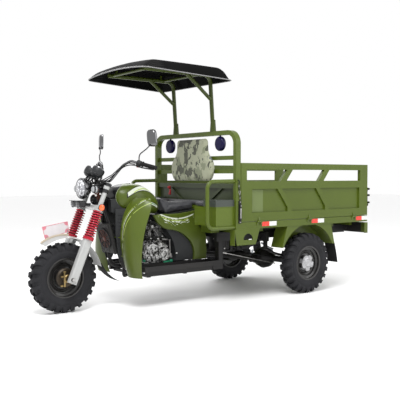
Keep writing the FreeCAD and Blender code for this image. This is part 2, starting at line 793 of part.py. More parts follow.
def frame_backbone():
    """Steering head with its gusset and the tube that runs back under tank and seat."""
    low = fork_point(0, FORK_OFFSET, HEAD_LOW_S)
    high = fork_point(0, FORK_OFFSET, HEAD_HIGH_S)
    head = head_tube(HEAD_TUBE_R)
    start = fork_point(0, FORK_OFFSET, HEAD_HIGH_S - 70)
    spine = spine_tube(BACKBONE_R)
    gusset = side_prism([(low.y + 10, low.z + 4), (high.y + 6, high.z - 40),
                         (start.y + 90, start.z - 40), (start.y + 84, start.z - 78)], -7, 7)
    reach = UPRIGHT_X - UPRIGHT_W / 2
    tail = box(-reach, reach, UPRIGHT_Y - 17, UPRIGHT_Y + 18, 560, BED_RAIL_TOP - SEAT_GAP)
    bore = rod(fork_point(0, FORK_OFFSET, HEAD_LOW_S - 20),
               fork_point(0, FORK_OFFSET, HEAD_HIGH_S + 20), STEM_R + SPIN_CLEARANCE)
    return fuse([head, spine, gusset, tail]).cut(bore)


def down_tube_top():
    top = fork_point(0, FORK_OFFSET, HEAD_LOW_S + 26)
    return top + vec(HEAD_TUBE_R - 3, 34, 30)


def down_tube_at(z):
    """Centre of the left down tube at one height of its straight run."""
    top = down_tube_top()
    share = (top.z - z) / (top.z - DOWN_KNEE_Z)
    return vec(top.x + share * (DOWN_KNEE_X - top.x), top.y + share * (DOWN_KNEE_Y - top.y), z)


def down_tube(side):
    """From the steering head down in front of the engine and back under it."""
    start = down_tube_top()
    tube = bent_tube([start, vec(DOWN_KNEE_X, DOWN_KNEE_Y, DOWN_KNEE_Z),
                      vec(DOWN_KNEE_X, UPRIGHT_Y - 24, DOWN_KNEE_Z - 30)], TUBE_R, 90)
    tube = tube.cut([head_tube(HEAD_TUBE_R + COPE_GAP), spine_tube(BACKBONE_R + COPE_GAP)])
    return tube if side > 0 else mirrored(tube)


def side_rail(side):
    """Footboard rail with the upright that carries the front of the bed."""
    x = side * SIDE_RAIL_X
    half = SIDE_RAIL_W / 2
    rail = box(x - half, x + half, SIDE_RAIL_Y0, UPRIGHT_Y + UPRIGHT_W / 2,
               SIDE_RAIL_Z, SIDE_RAIL_Z + SIDE_RAIL_H)
    wide = UPRIGHT_W / 2
    x0, x1 = sorted((side * (UPRIGHT_X - wide), side * (UPRIGHT_X + wide)))
    post = box(x0, x1, UPRIGHT_Y - wide, UPRIGHT_Y + wide, SIDE_RAIL_Z, BED_RAIL_TOP)
    foot = box(x0, x1, UPRIGHT_Y - 90, UPRIGHT_Y + wide, SIDE_RAIL_Z,
               SIDE_RAIL_Z + SIDE_RAIL_H)
    return fuse([rail, post, foot])


def frame_side_tubes():
    return Part.makeCompound([down_tube(1), down_tube(-1), side_rail(1), side_rail(-1)])


def frame_cross_tubes():
    reach = SIDE_RAIL_X - SIDE_RAIL_W / 2
    bars = []
    for y in (SIDE_RAIL_Y0 + 45, SIDE_RAIL_Y0 + 430):
        bars.append(box(-reach, reach, y - 15, y + 15, SIDE_RAIL_Z - 12, SIDE_RAIL_Z + 10))
    return Part.makeCompound(bars)


def bed_rails():
    """Main rails under the bed, let into the uprights at the front."""
    inner = BED_RAIL_X - BED_RAIL_W / 2
    rail = box(inner, inner + BED_RAIL_W, HOOP_FRONT, BED_REAR - 46,
               BED_RAIL_TOP - BED_RAIL_H, BED_RAIL_TOP)
    hangers = []
    for y in (WHEELBASE - LEAF_SPAN / 2, WHEELBASE + LEAF_SPAN / 2):
        hangers.append(box(inner + BED_RAIL_W - 2, LEAF_X + LEAF_W / 2 + 8, y - 22, y + 22,
                           BED_RAIL_TOP - BED_RAIL_H - 24, BED_RAIL_TOP - 20))
    return pair(fuse([rail] + hangers))


CROSS_YS = (1470.0, 1800.0, 2130.0, 2460.0, 2790.0, 3080.0)


def bed_cross_members():
    bars = []
    for y in CROSS_YS:
        bars.append(box(-GUARD_INNER_X + SWING_GAP, GUARD_INNER_X - SWING_GAP, y - 20, y + 20,
                        BED_RAIL_TOP, BED_SEAM - FLOOR_T))
    return Part.makeCompound(bars)


# Load bed

def hinge_stations(start, end, count):
    step = (end - start) / (count - 1)
    return [start + i * step for i in range(count)]


SIDE_HINGES = hinge_stations(BOARD_FRONT + 214, BED_REAR - 221, 3)
TAIL_HINGES = hinge_stations(-430.0, 430.0, 3)


def fixed_knuckle(along, station, corner, outward):
    """Pin between two rings, with a leaf on the rail below. corner is on the hinge axis."""
    ends = []
    for low in (-HINGE_W / 2, HINGE_W / 2 - 18):
        ends.append(Part.makeCylinder(KNUCKLE_R, 18, corner + along * (station + low), along))
    pin = Part.makeCylinder(HINGE_PIN_R, HINGE_W, corner + along * (station - HINGE_W / 2), along)
    leaves = []
    for low in (-HINGE_W / 2, HINGE_W / 2 - 18):
        foot = corner + along * (station + low) - outward * HINGE_OUT
        face = Part.makePolygon([foot, foot + outward * (HINGE_OUT - 2),
                                 foot + outward * (HINGE_OUT - 4) - Z_AXIS * 10,
                                 foot + outward * 4 - Z_AXIS * 34, foot - Z_AXIS * 34, foot])
        leaves.append(Part.Face(face).extrude(along * 18))
    return ends + [pin] + leaves


def moving_knuckle(along, station, corner, outward):
    """The ring that turns on the pin, and its leaf up the board."""
    width = HINGE_W - 36 - 2
    start = corner + along * (station - width / 2)
    ring = Part.makeCylinder(KNUCKLE_R, width, start, along)
    foot = start - outward * HINGE_OUT
    face = Part.makePolygon([foot + Z_AXIS * 6, foot + outward * (HINGE_OUT - 3) + Z_AXIS * 4,
                             foot + outward * (HINGE_OUT - 4) + Z_AXIS * 12,
                             foot + outward * 4 + Z_AXIS * 40, foot + Z_AXIS * 40,
                             foot + Z_AXIS * 6])
    leaf = Part.Face(face).extrude(along * width)
    bore = Part.makeCylinder(HINGE_PIN_R + SPIN_CLEARANCE, width + 4, start - along * 2, along)
    return fuse([ring, leaf]).cut(bore)


def bed_floor():
    """Floor sheet in a frame of edge rails, with the fixed halves of all hinges."""
    floor = box(-BED_HALF_W + 4, BED_HALF_W - 4, HOOP_REAR, BED_REAR - 4,
                BED_SEAM - FLOOR_T, BED_SEAM)
    pieces = [floor]
    for side in (1, -1):
        x0, x1 = sorted((side * (BED_HALF_W - EDGE_RAIL_W), side * BED_HALF_W))
        pieces.append(box(x0, x1, HOOP_REAR, BED_REAR, BED_BOTTOM, BED_SEAM))
        corner = vec(side * SIDE_HINGE_X, 0, BED_SEAM)
        for station in SIDE_HINGES:
            pieces += fixed_knuckle(Y_AXIS, station, corner, X_AXIS * side)
    pieces.append(box(-BED_HALF_W, BED_HALF_W, BED_REAR - EDGE_RAIL_W, BED_REAR,
                      BED_BOTTOM, BED_SEAM))
    for station in TAIL_HINGES:
        pieces += fixed_knuckle(X_AXIS, station, vec(0, REAR_HINGE_Y, BED_SEAM), Y_AXIS)
    return fuse(pieces)


def window_edges():
    """Front and rear edge of each window at its foot: braces lean back going up."""
    first = 1894.0
    second = 2405.0
    return [(WINDOW_FRONT, first), (first + BRACE_W, second), (second + BRACE_W, WINDOW_REAR)]


def side_windows(x0, x1):
    cuts = []
    edges = window_edges()
    for i, (front, rear) in enumerate(edges):
        front_top = front if i == 0 else front + BRACE_LEAN
        rear_top = rear if i == len(edges) - 1 else rear + BRACE_LEAN
        cuts.append(side_prism([(front, WINDOW_BOTTOM), (rear, WINDOW_BOTTOM),
                                (rear_top, WINDOW_TOP), (front_top, WINDOW_TOP)], x0, x1))
    return cuts


RIB_FEET = (2040.0, 2558.0)
RIB_RUN = 132.0
RIB_W = 58.0


def pressed_rib(foot, x0, x1):
    """Slanted pressing that ends in a short upright stretch at its foot."""
    top = foot - RIB_RUN
    knee = PANEL_BOTTOM + 62
    return side_prism([(foot, PANEL_BOTTOM), (foot, knee), (top, PANEL_TOP),
                       (top - RIB_W, PANEL_TOP), (foot - RIB_W, knee - 24),
                       (foot - RIB_W, PANEL_BOTTOM)], x0, x1)


def side_board(side):
    """Drop side: framed windows above a pressed panel, with its hinge halves."""
    outer = BED_HALF_W
    inner = BED_HALF_W - BOARD_T
    board = box(inner, outer, BOARD_FRONT, BED_REAR, BED_SEAM + SWING_GAP, BOARD_TOP)
    outer_press = box(outer - PANEL_DEPTH, outer + 1, PANEL_FRONT, PANEL_REAR,
                      PANEL_BOTTOM, PANEL_TOP)
    inner_press = box(inner - 1, inner + INNER_PRESS, PANEL_FRONT, PANEL_REAR,
                      PANEL_BOTTOM, PANEL_TOP)
    ribs = [pressed_rib(foot, outer - PANEL_DEPTH - 1, outer + 2) for foot in RIB_FEET]
    press = outer_press.cut(ribs)
    board = board.cut([press, inner_press] + side_windows(inner - 1, outer + 1))
    corner = vec(SIDE_HINGE_X, 0, BED_SEAM)
    halves = [moving_knuckle(Y_AXIS, s, corner, X_AXIS) for s in SIDE_HINGES]
    room = [Part.makeCylinder(KNUCKLE_R + 2, HINGE_W + 4,
                              corner + Y_AXIS * (s - HINGE_W / 2 - 2), Y_AXIS)
            for s in SIDE_HINGES]
    whole = fuse([board.cut(room)] + halves)
    return whole if side > 0 else mirrored(whole)


TAILGATE_HALF_W = BED_HALF_W - BOARD_T - SWING_GAP - 1


def tailgate():
    """Drop tailgate with a pressed panel and slanted ribs, between the side boards."""
    half = TAILGATE_HALF_W
    front = BED_REAR - TAILGATE_T
    board = box(-half, half, front, BED_REAR, BED_SEAM + SWING_GAP, TAILGATE_TOP)
    low = PANEL_BOTTOM
    high = TAILGATE_TOP - 62
    press = box(-half + 70, half - 70, BED_REAR - PANEL_DEPTH, BED_REAR + 1, low, high)
    inner_press = box(-half + 70, half - 70, front - 1, front + INNER_PRESS, low, high)
    ribs = []
    for x in (-190.0, 190.0):
        lean = 60.0 if x < 0 else -60.0
        ribs.append(prism([vec(x - 28, BED_REAR - PANEL_DEPTH - 1, low),
                           vec(x + 28, BED_REAR - PANEL_DEPTH - 1, low),
                           vec(x + 28 + lean, BED_REAR - PANEL_DEPTH - 1, high),
                           vec(x - 28 + lean, BED_REAR - PANEL_DEPTH - 1, high)],
                          vec(0, PANEL_DEPTH + 3, 0)))
    board = board.cut([press.cut(ribs), inner_press])
    corner = vec(0, REAR_HINGE_Y, BED_SEAM)
    halves = [moving_knuckle(X_AXIS, s, corner, Y_AXIS) for s in TAIL_HINGES]
    return fuse([board] + halves)


def headboard():
    """Bent hoop with slats above a stiffened panel, and brackets down to the rails."""
    outer = BED_HALF_W
    r = HOOP_CORNER_R
    low = BED_BOTTOM

    def arch(reach, top, radius, foot):
        diagonal = radius * (1 - math.sqrt(0.5))
        y = HOOP_FRONT
        edges = [Part.makeLine(vec(-reach, y, foot), vec(-reach, y, top - radius)),
                 Part.Arc(vec(-reach, y, top - radius),
                          vec(-reach + diagonal, y, top - diagonal),
                          vec(-reach + radius, y, top)).toShape(),
                 Part.makeLine(vec(-reach + radius, y, top), vec(reach - radius, y, top)),
                 Part.Arc(vec(reach - radius, y, top), vec(reach - diagonal, y, top - diagonal),
                          vec(reach, y, top - radius)).toShape(),
                 Part.makeLine(vec(reach, y, top - radius), vec(reach, y, foot)),
                 Part.makeLine(vec(reach, y, foot), vec(-reach, y, foot))]
        return Part.Face(Part.Wire(edges)).extrude(vec(0, HOOP_REAR - HOOP_FRONT, 0))

    inner = outer - HOOP_TUBE_W
    hoop = arch(outer, HOOP_TOP, r, low).cut(arch(inner, HOOP_TOP - HOOP_TUBE_W,
                                                  r - HOOP_TUBE_W, low - 1))
    back = HOOP_REAR - 8
    slats = [box(-inner - 5, inner + 5, back - SLAT_T, back, z - SLAT_H / 2, z + SLAT_H / 2)
             for z in (SLAT_TOP_Z, SLAT_LOW_Z)]
    panel = box(-inner - 5, inner + 5, back - 8, back, low, HEAD_PANEL_TOP)
    rail = box(-inner - 5, inner + 5, HOOP_FRONT + 14, back, HEAD_PANEL_TOP - 42, HEAD_PANEL_TOP)
    sill = box(-inner - 5, inner + 5, HOOP_FRONT + 14, back, low, low + 40)
    stiffeners = []
    for side in (1, -1):
        foot, head, wide = side * 40.0, side * 400.0, side * 46.0
        y = HOOP_FRONT + 20
        stiffeners.append(prism([vec(foot, y, PANEL_BOTTOM), vec(foot + wide, y, PANEL_BOTTOM),
                                 vec(head + wide, y, HEAD_PANEL_TOP - 20),
                                 vec(head, y, HEAD_PANEL_TOP - 20)], vec(0, back - y, 0)))
    return fuse([hoop, panel, rail, sill] + slats + stiffeners)


BRACKET_FRONT = 1330.0


def bed_bracket():
    """Side plate below the front of the bed, with its half-round hand hole."""
    outer = BED_HALF_W
    top = BED_BOTTOM - SEAT_GAP
    plate = side_prism([(BRACKET_FRONT, top), (BRACKET_FRONT + 302, top),
                        (BRACKET_FRONT + 250, 513), (BRACKET_FRONT + 28, 513)], outer - 4, outer)
    hole = Part.makeCylinder(56, 8, vec(outer - 6, BRACKET_FRONT + 160, 558), X_AXIS)
    hole = hole.common(box(outer - 8, outer + 4, BRACKET_FRONT, BRACKET_FRONT + 310, 558, 640))
    flange = box(outer - 60, outer, BRACKET_FRONT, BRACKET_FRONT + 4, 513, top)
    return fuse([cut(plate, [hole]), flange])


def rear_bumper():
    """Folded lamp board across the rail ends, with holes for a number plate."""
    half = BED_HALF_W + 4
    front = BED_REAR - 46
    rear = BED_REAR + 4
    skin = box(-half, half, rear - 4, rear, 534, 643)
    shelf = box(-half, half, front, rear, 639, 643)
    ends = [box(s * half - 4 if s > 0 else -half, s * half if s > 0 else -half + 4,
                front, rear, 534, 643) for s in (1, -1)]
    lugs = [box(s * BED_RAIL_X - 20, s * BED_RAIL_X + 20, front, rear, 560, 600)
            for s in (1, -1)]
    whole = fuse([skin, shelf] + ends + lugs)
    holes = [Part.makeCylinder(PLATE_HOLE_R, 8, vec(s * PLATE_HOLE_SPACING / 2, rear - 6, 590),
                               Y_AXIS) for s in (1, -1)]
    return whole.cut(holes)


PLATE_HOLE_R = 3.5
PLATE_HOLE_SPACING = 140.0


def tail_lamps():
    """Stepped lamp units that stand on the lamp board."""
    y = BED_REAR + 4
    lens = rounded_box(430, 560, y + SEAT_GAP, y + 9, 562, 622, 3)
    return pair(lens)


# Seat box, seats and hand rails

def seat_box():
    """Full-width box with a notch behind the saddle, tool lids at its ends and legs."""
    body = box(-BOX_HALF_W, BOX_HALF_W, BOX_FRONT, HOOP_FRONT - SEAT_GAP, BOX_BOTTOM, BOX_TOP)
    notch = box(-SADDLE_NOTCH_X, SADDLE_NOTCH_X, BOX_FRONT - 1, SADDLE_NOTCH_Y,
                BOX_BOTTOM - 1, BOX_TOP + 1)
    pieces = [body.cut(notch)]
    for side in (1, -1):
        x0, x1 = sorted((side * (BOX_HALF_W - LID_W), side * (BOX_HALF_W + 3)))
        pieces.append(box(x0, x1, BOX_FRONT - 4, HOOP_FRONT - SEAT_GAP, BOX_TOP - 2,
                          BOX_TOP + LID_T))
        x0, x1 = sorted((side * (SIDE_RAIL_X - 90), side * (BED_RAIL_X + 10)))
        pieces.append(box(x0, x1, HOOP_FRONT - 62, HOOP_FRONT + 40,
                          BED_RAIL_TOP + SEAT_GAP, BED_BOTTOM - 8))
        pieces.append(box(x0, x1, HOOP_FRONT - 62, HOOP_FRONT - 20,
                          BED_BOTTOM - 9, BOX_BOTTOM + 2))
    return fuse(pieces)


def bench_cushion():
    """Flat pad on the seat box, cut out round the back of the saddle."""
    x = BOX_HALF_W - LID_W - 4
    y0, y1 = BOX_FRONT + 2, HOOP_FRONT - 4
    notch_x, notch_y = SADDLE_NOTCH_X - 4, SADDLE_NOTCH_Y + 4
    outline = [(-x, y0), (-notch_x, y0), (-notch_x, notch_y), (notch_x, notch_y),
               (notch_x, y0), (x, y0), (x, y1), (-x, y1)]
    pad = prism([vec(a, b, BOX_TOP + SEAT_GAP) for a, b in outline], vec(0, 0, CUSHION_T))
    upper = [e for e in pad.Edges if e.BoundBox.ZMin > BOX_TOP + CUSHION_T - 1]
    return pad.makeFillet(10, upper)


def backrest():
    """Bell-shaped back pad that leans on the slats."""
    rear = HOOP_REAR - 8 - SLAT_T - SEAT_GAP
    half = [(0, 1060), (264, 1060), (300, 1086), (325, 1130), (335, 1188), (326, 1245),
            (298, 1292), (264, 1326), (246, 1360), (238, 1420), (230, 1464), (210, 1484), (0, 1485)]
    right = [vec(x, rear, z) for x, z in half]
    left = [vec(-x, rear, z) for x, z in half[-2:0:-1]]
    curve = Part.BSplineCurve()
    curve.interpolate(right[1:-1])
    other = Part.BSplineCurve()
    other.interpolate(left)
    edges = [curve.toShape(), Part.makeLine(right[-2], left[0]), other.toShape(),
             Part.makeLine(left[-1], right[1])]
    pad = Part.Face(Part.Wire(edges)).extrude(vec(0, -BACKREST_T, 0))
    return pad


def driver_seat():
    """Saddle with a raised nose against the tank and a low rear."""
    front, rear = SADDLE_BASE
    outline = [[front, (906, 938)],
               [(906, 938), (960, 904), (1050, 889), (1165, 887), (1266, 898)],
               [(1266, 898), rear], [rear, front]]
    slab = curved_face(-SADDLE_HALF_W, outline).extrude(vec(2 * SADDLE_HALF_W, 0, 0))
    return slab.makeFillet(8, [e for e in slab.Edges
                               if abs(abs(e.CenterOfMass.x) - SADDLE_HALF_W) < 1])


def armrest(side):
    """Bent hand rail from the hoop round the side of the seat box."""
    x = side * ARM_X
    y = ARM_FRONT
    end = HOOP_FRONT - SEAT_GAP
    return bent_tube([vec(x, end, ARM_TOP), vec(x, y, ARM_TOP - 4), vec(x, y, ARM_BOTTOM - 20),
                      vec(x, end, ARM_BOTTOM - 20)], ARM_TUBE_R, ARM_BEND_R)


# Canopy

def roof_profile(y, half_w, rim_z, wall_h, dome_h, arch_h):
    """Closed section of the canopy across the vehicle: steep sides and a flat dome."""
    top_z = rim_z + wall_h
    side = [(-half_w, rim_z), (-half_w + 7, rim_z + wall_h * 0.5),
            (-half_w + 30, rim_z + wall_h * 0.9), (-half_w * 0.75, top_z + dome_h * 0.35),
            (-half_w * 0.4, top_z + dome_h * 0.85)]
    points = [vec(x, y, z) for x, z in side] + [vec(0, y, top_z + dome_h)]
    points += [vec(-x, y, z) for x, z in side[::-1]]
    top = Part.BSplineCurve()
    top.interpolate(points)
    floor = Part.Arc(points[-1], vec(0, y, rim_z + arch_h), points[0])
    return Part.Wire([top.toShape(), floor.toShape()])


def roof_stations(shrink, drop):
    """Half-width, rim, side wall, dome and front arch along the canopy."""
    length = ROOF_REAR - ROOF_FRONT
    stations = []
    for share, wall, dome, arch in ((0.0, 0.36, 1.45, 1.0), (0.10, 0.62, 1.2, 0.62),
                                    (0.35, 0.86, 0.9, 0.2), (0.7, 0.98, 0.75, 0.05),
                                    (0.92, 0.94, 0.7, 0.03), (1.0, 0.48, 0.5, 0.03)):
        half_w = ROOF_HALF_W_FRONT + share * (ROOF_HALF_W_REAR - ROOF_HALF_W_FRONT)
        rim = ROOF_RIM_FRONT + share * (ROOF_RIM_REAR - ROOF_RIM_FRONT)
        stations.append((ROOF_FRONT + share * length, half_w - shrink, rim - drop,
                         wall * ROOF_WALL_H, dome * ROOF_DOME_H, arch * ROOF_ARCH_H))
    return stations


def canopy():
    """Moulded roof: a domed shell, open below, with a thin wall."""
    outer = loft([roof_profile(*station) for station in roof_stations(0, 0)])
    inner = loft([roof_profile(*station) for station in roof_stations(ROOF_WALL, ROOF_WALL)])
    squeeze = FreeCAD.Matrix()
    middle = (ROOF_FRONT + ROOF_REAR) / 2
    shrink = 1 - 2 * ROOF_WALL * 2 / (ROOF_REAR - ROOF_FRONT)
    inner.translate(vec(0, -middle, 0))
    squeeze.scale(1, shrink, 1)
    inner = inner.transformGeometry(squeeze)
    inner.translate(vec(0, middle, 0))
    return outer.cut(inner)


def roof_side_frame(side):
    """Post and fore-and-aft roof rail from one bent tube, with its diagonal brace."""
    x = side * POST_X
    foot = vec(x, POST_FOOT_Y, HOOP_TOP + 2)
    knee = vec(x, POST_HEAD_Y, ROOF_RAIL_Z)
    nose = vec(x, ROOF_FRONT + 110, ROOF_RAIL_Z)
    tube = bent_tube([foot, knee, nose], POST_R, 70)
    sleeve = Part.makeCone(POST_R + 10, POST_R + 3, 105, foot - Z_AXIS * (2 - SEAT_GAP))
    low = vec(x, POST_HEAD_Y + 12, BRACE_FOOT_Z)
    brace = rod(low, vec(x, BRACE_HEAD_Y, ROOF_RAIL_Z), ROOF_BRACE_R)
    return [tube, sleeve, brace]


def roof_spacers(shell):
    """Blocks that fill the space between the roof rails and the moulded roof."""
    room = shell.copy()
    room.translate(vec(0, 0, -SEAT_GAP))
    spacers = []
    for side in (1, -1):
        for y in (ROOF_FRONT + 190, POST_HEAD_Y - 140):
            column = Part.makeCylinder(11, 120, vec(side * POST_X, y, ROOF_RAIL_Z))
            pieces = column.cut(room).Solids
            spacers.append(min(pieces, key=lambda piece: piece.CenterOfMass.z))
    return spacers


def canopy_frame(shell):
    pieces = roof_side_frame(1) + roof_side_frame(-1) + roof_spacers(shell)
    for y in (ROOF_FRONT + 150, POST_HEAD_Y - 110):
        pieces.append(rod(vec(-POST_X, y, ROOF_RAIL_Z), vec(POST_X, y, ROOF_RAIL_Z), ROOF_BAR_R))
    return fuse(pieces)


def hoop_lamp(side):
    """Oval lamp that hangs under the hoop on a short stem."""
    case = Part.makeCylinder(LAMP_H / 2, LAMP_D, vec(0, -LAMP_D / 2, 0), Y_AXIS)
    case = case.makeFillet(18, [case.Edges[0], case.Edges[2]])
    shape = FreeCAD.Matrix()
    shape.scale(LAMP_W / LAMP_H, 1, 1)
    case = case.transformGeometry(shape)
    case.translate(vec(side * LAMP_X, LAMP_Y, LAMP_Z))
    foot = vec(side * LAMP_X, LAMP_Y, LAMP_Z + LAMP_H / 2 - 20)
    stem = rod(foot, vec(foot.x, foot.y, HOOP_TOP - HOOP_TUBE_W - SEAT_GAP), 9)
    return fuse([case, stem])


# Rider's platform and body panels

def fuel_tank():
    """Tank with rounded shoulders, a raised front and a tapering rear."""
    sections = [(452, 62, 918, 985), (500, 122, 842, 1036), (590, 152, 822, 1056),
                (700, 152, 812, 1052), (800, 132, 800, 1008), (872, 104, 790, 950),
                (902, 74, 800, 905)]
    wires = []
    for y, half, low, high in sections:
        middle = (low + high) / 2
        round_up = (high - low) * 0.36
        points = [vec(-half * 0.62, y, low), vec(half * 0.62, y, low),
                  vec(half, y, middle - round_up * 0.4), vec(half * 0.96, y, middle + round_up * 0.5),
                  vec(half * 0.62, y, high - round_up * 0.18), vec(0, y, high),
                  vec(-half * 0.62, y, high - round_up * 0.18),
                  vec(-half * 0.96, y, middle + round_up * 0.5), vec(-half, y, middle - round_up * 0.4)]
        top = Part.BSplineCurve()
        top.interpolate(points[1:] + points[:1])
        wires.append(Part.Wire([top.toShape(), Part.makeLine(points[0], points[1])]))
    solid = loft(wires)
    return solid.cut(spine_tube(BACKBONE_R + COPE_GAP))


def tank_shroud(side, tank):
    """Dark scoop under the front of the tank, beside the steering head."""
    outline = [[(396, 924), (404, 822)], [(404, 822), (460, 806), (520, 824)],
               [(520, 824), (534, 842)], [(534, 842), (480, 874), (440, 930)],
               [(440, 930), (396, 924)]]
    room = tank.copy()
    room.translate(vec(0, -SEAT_GAP, -SEAT_GAP))
    plate = curved_face(SHROUD_X, outline).extrude(vec(SHROUD_W, 0, 0)).cut([room, tank])
    return plate if side > 0 else mirrored(plate)


def side_cover(side):
    """Body panel under the seat that sweeps down to the back of the footboard."""
    outline = [[(790, 776), (870, 786), (960, 786)], [(960, 786), (1110, 792), (1246, 812)],
               [(1246, 812), (1264, 682)], [(1264, 682), (1322, 640), (1366, 590)],
               [(1366, 590), (1378, 480), (1376, 356)], [(1376, 356), (1232, 360)],
               [(1232, 360), (1218, 486), (1150, 568)], [(1150, 568), (1070, 618), (975, 642)],
               [(975, 642), (868, 682), (790, 776)]]
    slab = curved_face(COVER_X, outline).extrude(vec(COVER_T, 0, 0))
    outer = [e for e in slab.Edges if abs(e.CenterOfMass.x - COVER_X - COVER_T) < 0.5]
    slab = slab.makeFillet(8, outer)
    return slab if side > 0 else mirrored(slab)


def under_seat_panel():
    """Dark moulded housing between the side covers, behind the engine."""
    front, rear = [(y, z - SEAT_GAP) for y, z in SADDLE_BASE]
    outline = [[(1040, 360), (1018, 520), (940, 640)], [(940, 640), (940, 770)],
               [(940, 770), front], [front, rear], [rear, (rear[0], 360)],
               [(rear[0], 360), (1040, 360)]]
    slab = curved_face(SEAT_GAP - COVER_X, outline).extrude(vec(2 * (COVER_X - SEAT_GAP), 0, 0))
    return slab.cut(spine_tube(BACKBONE_R + COPE_GAP))


def leg_shield(side):
    """Swept plate in front of the rider's leg, leaning back at its top."""
    levels = [(268, 14, 535, -14, 540), (430, 0, 490, 0, 520), (610, 0, 466, 0, 540),
              (750, 24, 470, 0, 580), (870, 36, 516, -6, 622), (940, 48, 590, -60, 640)]
    wires = []
    for z, x_in, inner_y, x_out, outer_y in levels:
        x0 = SHIELD_INNER_X + x_in
        x1 = SHIELD_OUTER_X + x_out
        front = [vec(x0, inner_y, z), vec(x0 + (x1 - x0) * 0.45, (inner_y + outer_y) / 2 - 38, z),
                 vec(x1, outer_y, z)]
        back = [p + vec(0, SHIELD_T, 0) for p in front]
        wires.append(Part.Wire([Part.Arc(*front).toShape(), Part.makeLine(front[2], back[2]),
                                Part.Arc(*back[::-1]).toShape(), Part.makeLine(back[0], front[0])]))
    pieces = [loft(wires)]
    tube = rod(down_tube_top(), vec(DOWN_KNEE_X, DOWN_KNEE_Y, DOWN_KNEE_Z), TUBE_R + SEAT_GAP)
    for z, edge_y in SHIELD_STAYS:
        middle = down_tube_at(z)
        edge = vec(SHIELD_INNER_X + 10, edge_y, z)
        out = (edge - middle).normalize()
        pieces.append(rod(middle + out * (TUBE_R - 4), edge, STAY_R).cut(tube))
    shell = fuse(pieces)
    return shell if side > 0 else mirrored(shell)


def footboard(side):
    """Pressed tray with a raised lip."""
    x0, x1 = FOOTBOARD_INNER_X, FOOTBOARD_OUTER_X
    tray = box(x0, x1, FOOTBOARD_FRONT, FOOTBOARD_REAR, FOOTBOARD_Z + SEAT_GAP,
               FOOTBOARD_Z + FOOTBOARD_H)
    hollow = box(x0 + 6, x1 - 6, FOOTBOARD_FRONT + 6, FOOTBOARD_REAR - 6, FOOTBOARD_Z + 8,
                 FOOTBOARD_Z + FOOTBOARD_H + 1)
    tray = tray.cut(hollow)
    return tray if side > 0 else mirrored(tray)


# Engine and drive

def engine():
    """Upright finned cylinder on a split crankcase with round side covers."""
    case = curved_face(-95.0, [[(742, 362), (985, 362)], [(985, 362), (1008, 430), (990, 500)],
                               [(990, 500), (900, 560)], [(900, 560), (765, 545)],
                               [(765, 545), (720, 455), (742, 362)]]).extrude(vec(190, 0, 0))
    covers = [Part.makeCylinder(78, 46, vec(s * 92 - (46 if s < 0 else 0), 795, 448), X_AXIS)
              for s in (1, -1)]
    covers.append(Part.makeCylinder(62, 34, vec(92, 925, 430), X_AXIS))
    covers.append(Part.makeCylinder(70, 40, vec(-132, 915, 440), X_AXIS))
    barrel = Part.makeCylinder(46, 190)
    fins = [Part.makeCylinder(74, 6, vec(0, 0, 22 + 15 * i)) for i in range(7)]
    head = box(-75, 75, -HEAD_D / 2, HEAD_D / 2, 128, 174)
    cap = Part.makeCylinder(46, 26, vec(0, 0, 172))
    top = fuse([barrel, head, cap] + fins)
    top.rotate(ZERO, X_AXIS, CYLINDER_LEAN_DEG)
    top.translate(vec(0, CYLINDER_Y, CYLINDER_Z))
    return fuse([case, top] + covers)


def engine_point(x, back, up):
    """Where a point of the upright cylinder drawing ends up."""
    lean = math.radians(CYLINDER_LEAN_DEG)
    return vec(x, CYLINDER_Y + back * math.cos(lean) - up * math.sin(lean),
               CYLINDER_Z + back * math.sin(lean) + up * math.cos(lean))


def exhaust():
    """Header down past the engine, a pipe under the cross tubes, and the muffler behind."""
    low = SIDE_RAIL_Z - 35
    x = -200.0
    muffler_y = UPRIGHT_Y + 115
    port = engine_point(-30, -HEAD_D / 2 - SEAT_GAP, 151)
    ahead = engine_point(-30, -HEAD_D / 2 - 130, 151)
    pipe = bent_tube([port, ahead, vec(-60, ahead.y, low),
                      vec(x, 800, low), vec(x, UPRIGHT_Y, low), vec(x, muffler_y - 20, 405),
                      vec(x, muffler_y + 60, 405)], PIPE_R, 38)
    body = Part.makeCylinder(48, 400, vec(x, muffler_y, 405), Y_AXIS)
    tail = Part.makeCylinder(14, 60, vec(x, muffler_y + 398, 405), Y_AXIS)
    strap = box(x - 12, x + 12, CROSS_YS[1] - 4, CROSS_YS[1] + 4, 440, BED_RAIL_TOP - SEAT_GAP)
    return fuse([pipe, body, tail, strap])


def radiator():
    """Leaning core with side tanks and a round fan cowl, ahead of the down tubes."""
    half = RADIATOR_HALF_W
    core = box(-half, half, 0, RADIATOR_D, 0, RADIATOR_H)
    tanks = [rod(vec(s * half, RADIATOR_D / 2, -6), vec(s * half, RADIATOR_D / 2, RADIATOR_H + 6), 18)
             for s in (1, -1)]
    cowl = Part.makeCylinder(46, 20, vec(0, RADIATOR_D - 2, RADIATOR_H / 2), Y_AXIS)
    whole = fuse([core, cowl] + tanks)
    top = down_tube_top()
    rise = math.atan2(DOWN_KNEE_Y - top.y, top.z - DOWN_KNEE_Z)
    up = vec(0, -math.sin(rise), math.cos(rise))
    ahead = vec(0, -math.cos(rise), -math.sin(rise))
    whole.rotate(ZERO, X_AXIS, math.degrees(rise))
    knee = vec(0, DOWN_KNEE_Y, DOWN_KNEE_Z)
    whole.translate(knee + up * RADIATOR_LIFT + ahead * (TUBE_R + RADIATOR_D + SEAT_GAP))
    return whole


